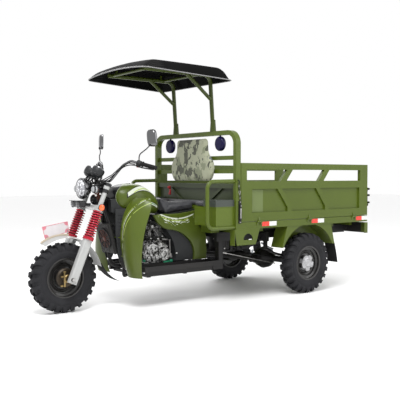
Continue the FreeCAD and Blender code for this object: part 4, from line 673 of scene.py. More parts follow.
class Stripes:
    """Where the plain stripes of each painted panel run."""

    def shield(self, foot, bend, low):
        """A thin line down a leg shield, worn away in places."""
        def mask(paint):
            rise = paint.axis("Z") - 0.5
            line = rise * rise * rise * bend + foot
            return (paint.side().near(line, 0.0026, 0.0012) * paint.axis("Z").above(low, 0.01)
                    * paint.noise(26.0, 2.0).above(0.40, 0.05))
        return mask

    def tank(self, middle, peak, bend, reach, first, last):
        """An arched band on the side of the tank."""
        def mask(paint):
            run = paint.back() - middle
            line = peak - run * run * bend
            part = paint.back().band(first, last, 0.004)
            outside = paint.side().above(0.08, 0.004)
            return paint.axis("Z").near(line, reach, 0.002) * part * outside
        return mask

    def stroke(self, back, z, slope, reach, length):
        """A brush stroke that starts at a place and thins out downhill."""
        def mask(paint):
            run = paint.back() - back
            taper = (1.0 - run * (0.8 / length)) * reach
            off = (paint.axis("Z") - (run * -slope + z)).math("ABSOLUTE")
            part = paint.back().band(back, back + length, 0.003)
            worn = paint.noise(60.0, 2.0).above(0.36, 0.04)
            return (taper - off).above(0.0, 0.0012) * part * worn
        return mask

    def neck(self, reach=None):
        """The dark front of the tank, or the pale line along its curved border, a painted highlight
        on the edge.
        """
        def mask(paint):
            rise = paint.axis("Z") - 0.945
            line = rise * rise * 6.5 + 0.5035
            swept = paint.back() + paint.side() * 0.55
            if reach:
                return swept.near(line, reach, 0.0012)
            return 1.0 - (swept - line).above(0.0, 0.0015)
        return mask

    def cover(self, drop, reach, gaps):
        """A broken line along the upper edge of a side cover."""
        def mask(paint):
            run = paint.back() - 1.05
            line = run * run * 1.2 + (0.742 - drop)
            part = paint.back().band(0.84, 1.22, 0.02)
            worn = paint.noise(24.0, 3.0).above(gaps, 0.04)
            return paint.axis("Z").near(line, reach, 0.0015) * part * worn
        return mask


class TricycleLook(bpy.types.PropertyGroup):
    """Colours that a user would change."""
    paint: bpy.props.FloatVectorProperty(
        name="Body paint", description="Olive green of the panels and the load bed",
        default=(0.066, 0.094, 0.0085), subtype="COLOR", size=3, min=0.0, max=1.0)
    spring: bpy.props.FloatVectorProperty(
        name="Spring paint", description="Red of the fork's coil springs",
        default=(0.36, 0.006, 0.022), subtype="COLOR", size=3, min=0.0, max=1.0)
    silver: bpy.props.FloatVectorProperty(
        name="Silver paint", description="Fork legs and front mudguard",
        default=(0.37, 0.375, 0.37), subtype="COLOR", size=3, min=0.0, max=1.0)
    dark: bpy.props.FloatVectorProperty(
        name="Dark plastic", description="Canopy and dark mouldings",
        default=(0.0045, 0.0045, 0.0045), subtype="COLOR", size=3, min=0.0, max=1.0)


class TricycleTyre(bpy.types.PropertyGroup):
    """Sizes of the lugged tyres."""
    outer: bpy.props.FloatProperty(
        name="Outer radius", description="From the axle to the top of the lugs",
        default=0.2872, unit="LENGTH")
    width: bpy.props.FloatProperty(
        name="Width", description="Across the sidewalls", default=0.130, unit="LENGTH")
    lug_height: bpy.props.FloatProperty(
        name="Lug height", description="Depth of the tread", default=0.015, unit="LENGTH")
    lugs: bpy.props.IntProperty(
        name="Lugs", description="Lugs on each side of the tread", default=24, min=8)


class TricycleStage(bpy.types.PropertyGroup):
    """Where the picture is taken from."""
    camera: bpy.props.FloatVectorProperty(
        name="Camera", description="Place of the camera", default=(5.0346, -3.94275, 1.1258),
        size=3, subtype="TRANSLATION", unit="LENGTH")
    azimuth: bpy.props.FloatProperty(
        name="Azimuth", description="Direction that the camera looks from",
        default=math.radians(51.974), subtype="ANGLE", unit="ROTATION")
    pitch: bpy.props.FloatProperty(
        name="Pitch", description="How far the camera looks down",
        default=math.radians(2.069), subtype="ANGLE", unit="ROTATION")
    lens: bpy.props.FloatProperty(
        name="Lens", description="Focal length in millimetres", default=60.34, min=10.0)


FINISHES = {}
COAL = (0.010, 0.010, 0.011)
PALE = (0.56, 0.60, 0.50)
LIME = (0.36, 0.46, 0.10)

# Nodes that wear another finish than the one of their slot.
NODE_FINISHES = {
    "canopy": "roof", "radiator": "core", "handlebar": "dark_chrome", "front_axle": "brake_plate",
    "engine": "dark_alloy", "canopy_frame": "post", "headboard": "headboard",
    "leg_shields": "shield", "fuel_tank": "tank", "side_covers": "cover", "seat_box": "seat_box",
    "fork_yokes": "yokes", "rear_bumper": "bumper", "tail_lamps": "tail", "front_rim": "front_rim",
    "rear_rim_left": "rear_rim", "rear_rim_right": "rear_rim",
}


class TRICYCLE_OT_finishes(bpy.types.Operator):
    """Mix every finish and put one on each node of the frame"""
    bl_idname = "tricycle.finishes"
    bl_label = "Finishes"

    def execute(self, context):
        look = context.scene.tricycle_look
        olive, silver = tuple(look.paint), tuple(look.silver)
        for group in (self.paints(olive, silver, tuple(look.spring)), self.metals(),
                      self.mouldings(tuple(look.dark)), self.lamps(),
                      self.two_tone(olive, silver), self.striped(olive)):
            FINISHES.update(group)
        slots = {part["node"]: part["material_slot"] for part in frame["record"]["subparts"]}
        slots.update(NODE_FINISHES)
        for name, node in NODES.items():
            node.data.materials.clear()
            node.data.materials.append(FINISHES[slots[name]].material)
        return {"FINISHED"}

    def paints(self, olive, silver, red):
        return {
            "body_green": worn_paint("Olive paint", olive),
            # The canopy frame wears the body olive darkened to 0.58, a painted shade.
            "post": worn_paint("Olive with painted shade", shade(olive, 0.58)),
            "patch": worn_paint("Faded patch", (0.115, 0.150, 0.050), 0.5, 0.0, 0.1),
            "frame_black": worn_paint("Black chassis paint", COAL, 0.40, 0.05, 0.15, level=0.2),
            "silver_paint": worn_paint("Silver paint", silver, 0.34, 0.3, 0.1),
            "spring_red": worn_paint("Red spring paint", red, 0.22, 0.5, 0.0),
            # The sleeve inside the coils is a darker red than the springs: painted shade within the
            # coil.
            "sleeve_red_painted_shade": worn_paint("Red sleeve with painted shade", (0.10, 0.003, 0.008), 0.3, 0.3, 0.0),
        }

    def metals(self):
        return {
            "engine_alloy": cast_metal("Cast alloy", (0.36, 0.36, 0.35)),
            "steel": cast_metal("Brushed steel", (0.42, 0.41, 0.40), 0.35),
            "brass": cast_metal("Brass", (0.30, 0.215, 0.09), 0.35),
            "brake_plate": cast_metal("Brown brake plate", (0.060, 0.048, 0.036), 0.45),
            "dark_alloy": speckled_alloy("Dark alloy", (0.16, 0.16, 0.155)),
            "bright_alloy": speckled_alloy("Bright alloy", (0.50, 0.50, 0.49)),
            "chrome": bright("Chrome", (0.62, 0.62, 0.63)),
            "dark_chrome": bright("Dark chrome", (0.16, 0.16, 0.165), 0.2),
            "smoked": bright("Smoked chrome", (0.17, 0.17, 0.175), 0.12),
            "looking_glass": bright("Mirror glass", (0.80, 0.82, 0.84), 0.03),
            "core": finned_core("Radiator core"),
        }

    def mouldings(self, dark):
        """Plastic, rubber and upholstery."""
        return {
            "roof": ribbed_shell("Black roof moulding", dark),
            "black_plastic": moulded("Grained black plastic", (0.017, 0.018, 0.019), 0.5),
            "gloss_black": moulded("Gloss black", COAL, 0.28, 0.08, 500.0, 0.35),
            # The roof's lip is grey on a black roof: a painted highlight along the rim, over its real
            # gloss.
            "edging": moulded("Roof lip with painted highlight", (0.16, 0.16, 0.16), 0.25, 0.1, 400.0, 0.5),
            "pink_edge": moulded("Pale red edging", (0.50, 0.20, 0.23), 0.4, 0.1, 400.0),
            "rust": moulded("Reddish brown", (0.085, 0.022, 0.012), 0.5, 0.2, 300.0),
            "piping": moulded("Pale piping", (0.42, 0.36, 0.28), 0.5, 0.3, 400.0),
            "dial": moulded("Dial face", (0.010, 0.010, 0.010), 0.5, 0.1),
            "marking": moulded("White marking", (0.70, 0.70, 0.68), 0.5, 0.1),
            "red_grip": moulded("Red moulding", (0.30, 0.008, 0.010), 0.4, 0.2, 400.0),
            "green_moulding": moulded("Green moulding", (0.006, 0.14, 0.07), 0.4, 0.2, 400.0),
            "pale_hose": moulded("Pale hose", (0.50, 0.52, 0.55), 0.4, 0.1, 400.0),
            "rubber": rubber_finish("Rubber", (0.009, 0.009, 0.009)),
            "tyre": rubber_finish("Tyre rubber", (0.012, 0.012, 0.0135), 0.72, 160.0),
            "seat_vinyl": sewn_vinyl("Dark seat vinyl", (0.040, 0.040, 0.045)),
            "camouflage_fabric": blotched_cloth("Blotched cover", (0.330, 0.345, 0.240),
                                                (0.052, 0.055, 0.036), (0.19, 0.21, 0.13),
                                                (0.075, 0.095, 0.105)),
        }

    def lamps(self):
        """Lenses, lamp glass and reflecting tape."""
        return {
            # The headlamp glass carries painted glints and reflections of its reflector.
            "facets": glass_with_painted_glints("Lamp glass with painted glints"),
            "lamp_clear": lens("Clear lamp", (0.30, 0.31, 0.32), 0.06, 90.0),
            "lamp_blue": lens("Dark blue lamp", (0.005, 0.003, 0.036), 0.15, 60.0, 0.1, 0.15),
            "lamp_red": lens("Red lamp", (0.42, 0.010, 0.008), 0.1, 70.0),
            "smoked_lens": lens("Smoked lamp", (0.030, 0.030, 0.032), 0.1, 60.0),
            "amber": lens("Orange reflector", (0.90, 0.115, 0.012), 0.12, 240.0),
            "tape_red": beaded_tape("Red tape", (0.78, 0.030, 0.012)),
            "tape_white": beaded_tape("White tape", (0.70, 0.72, 0.69)),
        }

    def two_tone(self, olive, silver):
        """Paints that change colour at a straight or round border; the bumper's black is painted
        shade.
        """
        rim = (0.012, 0.0115, 0.011)
        return {
            "headboard": worn_paint("Olive headboard", olive, marks=(
                (lambda paint: (1.0 - paint.axis("Z").above(1.078, 0.001))
                 * (1.0 - paint.side().above(0.585, 0.001)), (0.042, 0.054, 0.026)),)),
            "seat_box": worn_paint("Olive box", shade(olive, 1.18), marks=(
                (lambda paint: paint.axis("Z").above(0.8575, 0.001), (0.047, 0.055, 0.047)),)),
            "yokes": worn_paint("Yoke paint", silver, 0.34, 0.3, 0.1, marks=(
                (lambda paint: paint.axis("Z").above(0.97, 0.01), COAL),)),
            # The rear bumper is black inboard of 0.545 m as painted shade under the bed; its outer
            # ends show the olive.
            "bumper": worn_paint("Bumper with painted shade", COAL, 0.42, 0.1, 0.4, marks=(
                (lambda paint: paint.side().above(0.545, 0.001), olive),)),
            "tail": worn_paint("Tail lamp lens", (0.40, 0.010, 0.008), 0.1, 0.9, 0.0, marks=(
                (lambda paint: paint.side().above(0.517, 0.001), (0.80, 0.16, 0.01)),
                (lambda paint: paint.side().band(0.470, 0.480, 0.001), (0.60, 0.60, 0.60)))),
            "front_rim": wheel_paint("Front rim paint", rim, (0.030, 0.024, 0.018),
                                     at(0, 0, AXLE_Z).yz, 0.060),
            "rear_rim": wheel_paint("Rear rim paint", rim, (0.42, 0.42, 0.43),
                                    at(0, WHEELBASE, AXLE_Z).yz, 0.0765),
            "plate": corner_plate("Blank plate"),
        }

    def striped(self, olive):
        """Painted panels with plain stripes."""
        stripes = Stripes()
        strokes = ((0.862, 0.776, 0.95, 0.085, PALE), (0.885, 0.764, 0.85, 0.10, LIME),
                   (0.910, 0.755, 0.72, 0.11, PALE), (0.940, 0.748, 0.60, 0.11, LIME),
                   (0.975, 0.742, 0.45, 0.12, PALE), (1.010, 0.738, 0.30, 0.13, PALE),
                   (1.060, 0.727, 0.10, 0.12, LIME), (1.075, 0.700, -0.25, 0.10, PALE))
        lines = ((0.0, 0.0055, 0.40, PALE), (0.017, 0.0030, 0.47, LIME),
                 (0.030, 0.0045, 0.50, PALE), (0.052, 0.0025, 0.56, PALE))
        cover = [(stripes.stroke(back, z, slope, 0.0028, length), tint)
                 for back, z, slope, length, tint in strokes]
        cover += [(stripes.cover(drop, reach, gaps), tint) for drop, reach, gaps, tint in lines]
        return {
            "shield": worn_paint("Olive shield", shade(olive, 0.98), marks=(
                (stripes.shield(0.169, 1.9, 0.46), LIME), (stripes.shield(0.184, 1.9, 0.50), PALE),
                (stripes.shield(0.201, 2.6, 0.58), LIME))),
            "tank": worn_paint("Olive tank", shade(olive, 0.92), marks=(
                # The pale line between the dark front and the olive is a painted highlight on the
                # tank's edge.
                (stripes.neck(), COAL), (stripes.neck(0.0022), (0.30, 0.34, 0.22)),
                (stripes.tank(0.70, 1.016, 2.2, 0.023, 0.535, 0.845), COAL),
                (stripes.tank(0.70, 1.017, 2.2, 0.017, 0.545, 0.835), PALE),
                (stripes.tank(0.71, 1.013, 2.6, 0.004, 0.60, 0.80), LIME),
                (stripes.tank(0.72, 0.893, 2.0, 0.015, 0.735, 0.875), COAL),
                (stripes.tank(0.72, 0.893, 2.0, 0.010, 0.740, 0.870), PALE),
                (stripes.tank(0.74, 0.890, 2.2, 0.003, 0.76, 0.85), (0.02, 0.20, 0.05)))),
            "cover": worn_paint("Olive cover", shade(olive, 0.90), marks=cover),
        }


def tyre_profile(outer, width, lug_height):
    """Half section of the carcass from bead to crown, then mirrored."""
    half = width / 2
    crown = outer - lug_height
    side = [(0.047, 0.158), (0.052, 0.164), (half - 0.009, 0.172), (half - 0.004, 0.180),
            (half - 0.004, 0.184), (half - 0.001, 0.190), (half, 0.205), (half + 0.0004, 0.216),
            (half - 0.0015, 0.219), (half - 0.001, 0.230), (half - 0.004, 0.244),
            (half - 0.010, 0.256), (half - 0.020, crown - 0.006), (0.030, crown),
            (0.010, crown + 0.001)]
    return side + [(-x, r) for x, r in side[::-1]]


def lug_block(outer, width, lug_height, count):
    """One chevron lug that wraps over the shoulder, standing on the top of the tyre."""
    half = width / 2
    root = outer - lug_height - 0.004
    depth = 2 * math.pi * outer / count * 0.52
    section = [(0.004, root), (0.004, outer), (half - 0.020, outer), (half - 0.004, outer - 0.014),
               (half + 0.0015, outer - 0.034), (half + 0.001, outer - 0.058),
               (half - 0.010, outer - 0.060), (half - 0.022, root - 0.006)]
    points = [Vector((x, -depth / 2, r)) for x, r in section]
    lug = slab("lug", points, (0, depth, 0))
    for corner in lug.data.vertices:
        x, y, z = corner.co
        share = x / half
        corner.co.y = y * (1.0 - 0.16 * share) + (share - 0.35) * 0.017
        if z < outer - 0.004:
            corner.co.y *= 1.0 + 0.10 * min(1.0, (outer - z) / 0.02)
    return rounded(tidy_normals(lug), 0.0022, 2)


class TRICYCLE_OT_tyres(bpy.types.Operator):
    """Model one lugged tyre and fit a copy on each wheel"""
    bl_idname = "tricycle.tyres"
    bl_label = "Tyres"

    def execute(self, context):
        size = context.scene.tricycle_tyre
        profile = [Vector((x, 0, r)) for x, r in
                   tyre_profile(size.outer, size.width, size.lug_height)]
        carcass = turned("carcass", profile, (0, 0, 0), (1, 0, 0), 96)
        smooth(carcass, 50)
        left = lug_block(size.outer, size.width, size.lug_height, size.lugs)
        right = copy_of(left, "lug_right", MIRROR)
        pieces = [carcass]
        for i in range(size.lugs):
            turn = 2 * math.pi / size.lugs * i
            pieces.append(copy_of(left, "lug", Matrix.Rotation(turn, 4, "X")))
            turn += math.pi / size.lugs
            pieces.append(copy_of(right, "lug", Matrix.Rotation(turn, 4, "X")))
        for spare in (left, right):
            bpy.data.objects.remove(spare)
        tyre = smooth(join("tyre_pattern", pieces), 40)
        places = (("front_wheel", "front_tyre", at(0, 0, AXLE_Z)),
                  ("rear_wheel_left", "rear_tyre_left", at(HALF_TRACK, WHEELBASE, AXLE_Z)),
                  ("rear_wheel_right", "rear_tyre_right", at(-HALF_TRACK, WHEELBASE, AXLE_Z)))
        for body, node, place in places:
            fitted = copy_of(tyre, node + "_lugged", Matrix.Translation(place))
            finish_piece(fitted, FINISHES["tyre"].material, body, "tyre", node)
        bpy.data.objects.remove(tyre)
        return {"FINISHED"}


class TRICYCLE_OT_springs(bpy.types.Operator):
    """Wind the open coil springs round both fork tubes"""
    bl_idname = "tricycle.springs"
    bl_label = "Fork springs"

    def execute(self, context):
        low, high = 0.3627, 0.5857
        turns = 11
        wire_r, mean_r = 0.006, 0.038
        coils = []
        for side in (1, -1):
            deselect()
            bpy.ops.mesh.primitive_circle_add(vertices=10, radius=wire_r, location=(mean_r, 0, 0),
                                              rotation=(math.pi / 2, 0, 0))
            coil = take("fork_coil")
            modify(coil, "SCREW", axis="Z", angle=2 * math.pi * turns, steps=28 * turns,
                   render_steps=28 * turns, screw_offset=high - low, use_merge_vertices=False)
            edit(coil, (bpy.ops.mesh.normals_make_consistent, {"inside": False}))
            place = (Matrix.Translation(at(0, FORK_BACK, AXLE_Z)) @ Matrix.Rotation(-RAKE, 4, "X")
                     @ Matrix.Translation((side * FORK_HALF, 0, low)))
            coils.append(moved(coil, place))
        fitted("fork_coil_springs", coils, "spring_red", "steering", "fork_springs", angle=60)
        sleeves, collars = [], []
        for side in (1, -1):
            foot = fork_at(side * FORK_HALF, 0, 0.3585)
            sleeves.append(disc("spring_sleeve", foot, FORK_UP, [
                (0.0205, 0), (0.025, 0), (0.026, 0.004), (0.026, 0.222), (0.024, 0.228),
                (0.0205, 0.228)]))
            collars.append(disc("spring_collar", foot, FORK_UP, [
                (0.031, -0.0195), (0.0455, -0.0195), (0.0475, -0.0165), (0.0475, -0.010),
                (0.0445, -0.007), (0.0445, -0.004), (0.0475, -0.001), (0.0475, 0.004),
                (0.0455, 0.0065), (0.031, 0.0065)], 48))
        # The sleeves take the darker red, painted shade inside the coils.
        fitted("fork_spring_sleeves", sleeves, "spring_red", "steering", finish="sleeve_red_painted_shade")
        fitted("fork_spring_collars", collars, "spring_red", "steering")
        return {"FINISHED"}


def puffed(piece, voxel, pressure, cap):
    """Swell a closed form as stuffed cloth, with no point moving further than the cap."""
    modify(piece, "REMESH", mode="VOXEL", voxel_size=voxel)
    rest = [corner.co.copy() for corner in piece.data.vertices]
    pick(piece)
    cloth = piece.modifiers.new("Swell", "CLOTH")
    cloth.settings.quality = 5
    cloth.settings.use_pressure = True
    cloth.settings.uniform_pressure_force = pressure
    cloth.settings.effector_weights.gravity = 0
    cloth.settings.tension_stiffness = 12
    cloth.settings.bending_stiffness = 2
    cloth.point_cache.frame_start = 1
    cloth.point_cache.frame_end = SOFT_STEPS
    for step in range(1, SOFT_STEPS + 1):
        bpy.context.scene.frame_set(step)
    bpy.ops.object.modifier_apply(modifier=cloth.name)
    for corner, start in zip(piece.data.vertices, rest):
        move = corner.co - start
        if move.length > cap:
            corner.co = start + move * (cap / move.length)
    bpy.context.scene.frame_set(1)
    modify(piece, "SMOOTH", factor=0.5, iterations=3)
    return smooth(modify(piece, "SUBSURF", levels=1, render_levels=1), 60)


class TRICYCLE_OT_seats(bpy.types.Operator):
    """Upholster the saddle, the bench pad and the back pad"""
    bl_idname = "tricycle.seats"
    bl_label = "Seats"

    def execute(self, context):
        self.saddle()
        self.bench()
        self.back_pad()
        return {"FINISHED"}

    def saddle(self):
        """The rider's saddle, with cross seams on top and a piping along its side."""
        side = [(0.970, 0.792), (0.928, 0.888), (0.914, 0.926), (0.928, 0.930), (0.960, 0.904),
                (1.020, 0.888), (1.110, 0.881), (1.200, 0.884), (1.252, 0.891), (1.261, 0.872),
                (1.261, 0.832), (1.200, 0.822), (1.080, 0.806)]
        half = 0.118
        pad = slab("saddle", [at(-half, y, z) for y, z in side], (2 * half, 0, 0))
        for corner in pad.data.vertices:
            share = (corner.co.y - FRONT - 0.92) / 0.34
            corner.co.x *= 0.72 + 0.28 * min(1.0, max(0.0, share) * 1.6)
        rounded(pad, 0.014, 3)
        puffed(pad, 0.006, 3.0, 0.008)
        first_seam, last_seam, seam_pitch, seam_depth = 0.99, 1.16, 0.026, 0.0045
        top_z, piping_z, piping_reach = 0.850, 0.852, 0.004
        for corner in pad.data.vertices:
            y = corner.co.y - FRONT
            if corner.co.z > top_z and first_seam < y < last_seam:
                run = y + abs(corner.co.x) * 0.3 - first_seam
                wave = abs(math.sin(math.pi * run / seam_pitch))
                corner.co.z -= seam_depth * (1.0 - wave) ** 3
            piping = abs(corner.co.z - piping_z - (y - 1.1) * 0.06)
            if piping < piping_reach and abs(corner.co.x) > 0.05:
                corner.co.x *= 1.0 + 0.012 * (1.0 - piping / piping_reach)
        finish_piece(pad, FINISHES["seat_vinyl"].material, "chassis", "seat_vinyl",
                               "driver_seat")

    def bench(self):
        """The pad on the seat box, cut out round the back of the saddle."""
        x, y0, y1 = 0.420, 1.146, 1.338
        notch_x, notch_y = 0.302, 1.292
        corners = [(-x, y0), (-notch_x, y0), (-notch_x, notch_y), (notch_x, notch_y),
                   (notch_x, y0), (x, y0), (x, y1), (-x, y1)]
        pad = slab("bench_pad", [at(a, b, 0.860) for a, b in corners], (0, 0, 0.038))
        puffed(rounded(pad, 0.010, 3), 0.006, 3.0, 0.006)
        finish_piece(pad, FINISHES["seat_vinyl"].material, "chassis", "seat_vinyl",
                               "bench_cushion")

    def back_pad(self):
        """The waisted pad on the headboard."""
        half = [(0.262, 1.068), (0.294, 1.092), (0.317, 1.134), (0.326, 1.188), (0.317, 1.242),
                (0.291, 1.286), (0.257, 1.322), (0.239, 1.358), (0.231, 1.418), (0.223, 1.460),
                (0.204, 1.477)]
        points = [at(x, 1.364, z) for x, z in half] + [at(-x, 1.364, z) for x, z in half[::-1]]
        pad = slab("back_pad", points, (0, -0.040, 0))
        puffed(rounded(pad, 0.010, 3, 50), 0.007, 4.0, 0.011)
        finish_piece(pad, FINISHES["camouflage_fabric"].material, "chassis",
                               "camouflage_fabric", "backrest")


class TRICYCLE_OT_roof(bpy.types.Operator):
    """Mould the canopy: steep sides with round corners, a low dome and a turned lip"""
    bl_idname = "tricycle.roof"
    bl_label = "Canopy"

    def execute(self, context):
        deselect()
        bpy.ops.mesh.primitive_grid_add(x_subdivisions=56, y_subdivisions=48, size=2)
        shell = take("canopy_shell")
        for corner in shell.data.vertices:
            corner.co = self.surface(corner.co.x, corner.co.y)
        tidy_normals(shell)
        modify(shell, "SOLIDIFY", thickness=0.005, offset=-1)
        smooth(shell, 50)
        finish_piece(shell, FINISHES["roof"].material, "chassis", "black_plastic", "canopy")
        edge = [(-1 + i / 8, -1) for i in range(17)] + [(1, -1 + i / 8) for i in range(1, 17)]
        edge += [(1 - i / 8, 1) for i in range(1, 17)] + [(-1, 1 - i / 8) for i in range(1, 17)]
        lip = wire("canopy_lip", [self.surface(x, y) - Vector((0, 0, 0.002)) for x, y in edge],
                   0.0048, 3)
        # The lip's grey is a painted highlight along the rim.
        fitted("canopy_lip", [lip], "gloss_black", "chassis", finish="edging", angle=60)
        return {"FINISHED"}

    def surface(self, u, v):
        """The outer face for a corner of the flat grid: rounded plan, steep sides, low dome."""
        u, v = u * (1.5 - 0.5 * u * u), v * (1.5 - 0.5 * v * v)
        half_w, half_l, corner_r = 0.525 + 0.020 * v, 0.4425, 0.055
        x, y = u * half_w, v * half_l
        inset_x, inset_y = half_w - abs(x), half_l - abs(y)
        if inset_x < corner_r and inset_y < corner_r:
            a, b = corner_r - inset_x, corner_r - inset_y
            pull = max(a, b) / math.hypot(a, b)
            x = math.copysign(half_w - corner_r + a * pull, x)
            y = math.copysign(half_l - corner_r + b * pull, y)
            inset_x = inset_y = corner_r - max(a, b)
        side_reach, front_reach, rear_reach = 0.105, 0.15, 0.12
        rise = (self.step(inset_x, side_reach)
                * self.step(inset_y, front_reach if v < 0 else rear_reach))
        arch = 1.0 - (x / half_w) ** 2
        front = (1.0 - v) / 2
        rim = 1.9855 - 0.0195 * v + 0.034 * arch * front ** 3
        top = 2.079 + 0.027 * arch - 0.012 * ((1.0 + v) / 2) ** 2
        channel = math.exp(-((abs(x) - 0.215) / 0.016) ** 2) + math.exp(-(x / 0.016) ** 2)
        z = rim + (top - rim) * rise - 0.0055 * channel * rise ** 6
        return at(x, 0.9425 + y, z)

    def step(self, inset, reach):
        """Rise of the steep edge: 0 at the rim, 1 once the inset is past the reach."""
        return 1.0 - (1.0 - min(1.0, max(0.0, inset) / reach)) ** 2.3


class TRICYCLE_OT_lamps(bpy.types.Operator):
    """Glaze the headlamp and the lamp pod, and fit the fork's reflectors and the signals' rims"""
    bl_idname = "tricycle.lamps"
    bl_label = "Lamps"

    def execute(self, context):
        ahead = (0, -1, 0)
        front = at(0, 0.158, 1.019)
        fitted("headlamp_glass", [disc("glass", front, ahead, [
            (0, 0.010), (0.030, 0.0085), (0.055, 0.004), (0.072, -0.004), (0.079, -0.014),
            (0.079, -0.022), (0, -0.022)], 64)], "lamp_clear", "steering", finish="facets")
        fitted("headlamp_bezel", [disc("bezel", front, ahead, [
            (0.0775, -0.010), (0.084, -0.007), (0.0895, -0.014), (0.0895, -0.030),
            (0.0875, -0.034), (0.0775, -0.022)], 64)], "chrome", "steering", finish="dark_chrome")
        pod = at(0.043, 0.1155, 0.890)
        fitted("pod_lenses", both_sides([disc("pod_lens", pod, ahead, [
            (0, 0.006), (0.014, 0.005), (0.022, 0), (0.024, -0.004), (0, -0.004)])]),
            "lamp_clear", "steering", finish="smoked_lens")
        fitted("pod_rims", both_sides([disc("pod_rim", pod, ahead, [
            (0.0235, -0.002), (0.027, 0.003), (0.030, 0.001), (0.030, -0.004),
            (0.0235, -0.004)])]), "chrome", "steering", finish="smoked")
        hood = bar("pod_hood", (-0.086, 0.104, 0.9145), (0.086, 0.150, 0.9205), 0.0025)
        fitted("pod_hood", [hood], "gloss_black", "steering")
        spot = at(0.1755, 0.264, 0.8625)
        fitted("reflector_cups", both_sides([disc("cup", spot, (1, 0, 0), [
            (0, 0), (0.0275, 0), (0.0285, 0.004), (0.0285, 0.009), (0, 0.009)])]),
            "black_plastic", "steering")
        fitted("reflector_lenses", both_sides([disc("reflector", spot, (1, 0, 0), [
            (0, 0.0125), (0.018, 0.0118), (0.0255, 0.009), (0.0255, 0.006), (0, 0.006)])]),
            "lamp_red", "steering", finish="amber")
        signal = at(0.152, 0.194, 1.014)
        fitted("signal_rims", both_sides([disc("signal_rim", signal, ahead, [
            (0.0225, -0.006), (0.0275, -0.006), (0.0300, -0.012), (0.0300, -0.018),
            (0.0270, -0.018)])]), "gloss_black", "steering")
        return {"FINISHED"}


# Leads behind the headlamp, each with four (x, distance behind the front axle, height) points.
LEADS = (
    ((0.050, 0.262, 1.122), (0.075, 0.225, 1.095), (0.070, 0.250, 1.060), (0.055, 0.290, 1.030)),
    ((0.035, 0.272, 1.118), (0.020, 0.240, 1.080), (0.040, 0.255, 1.045), (0.030, 0.290, 1.020)),
    ((0.085, 0.280, 1.120), (0.115, 0.270, 1.085), (0.105, 0.300, 1.040), (0.090, 0.300, 1.000)),
    ((-0.050, 0.262, 1.122), (-0.080, 0.235, 1.090), (-0.060, 0.250, 1.055), (-0.050, 0.290, 1.035)),
    ((-0.020, 0.270, 1.118), (0.000, 0.230, 1.085), (0.010, 0.250, 1.060), (-0.010, 0.300, 1.040)),
    ((0.120, 0.330, 1.085), (0.150, 0.300, 1.060), (0.120, 0.270, 1.050), (0.080, 0.285, 1.030)),
    ((-0.120, 0.330, 1.085), (-0.140, 0.300, 1.060), (-0.110, 0.270, 1.050), (-0.070, 0.285, 1.030)),
)


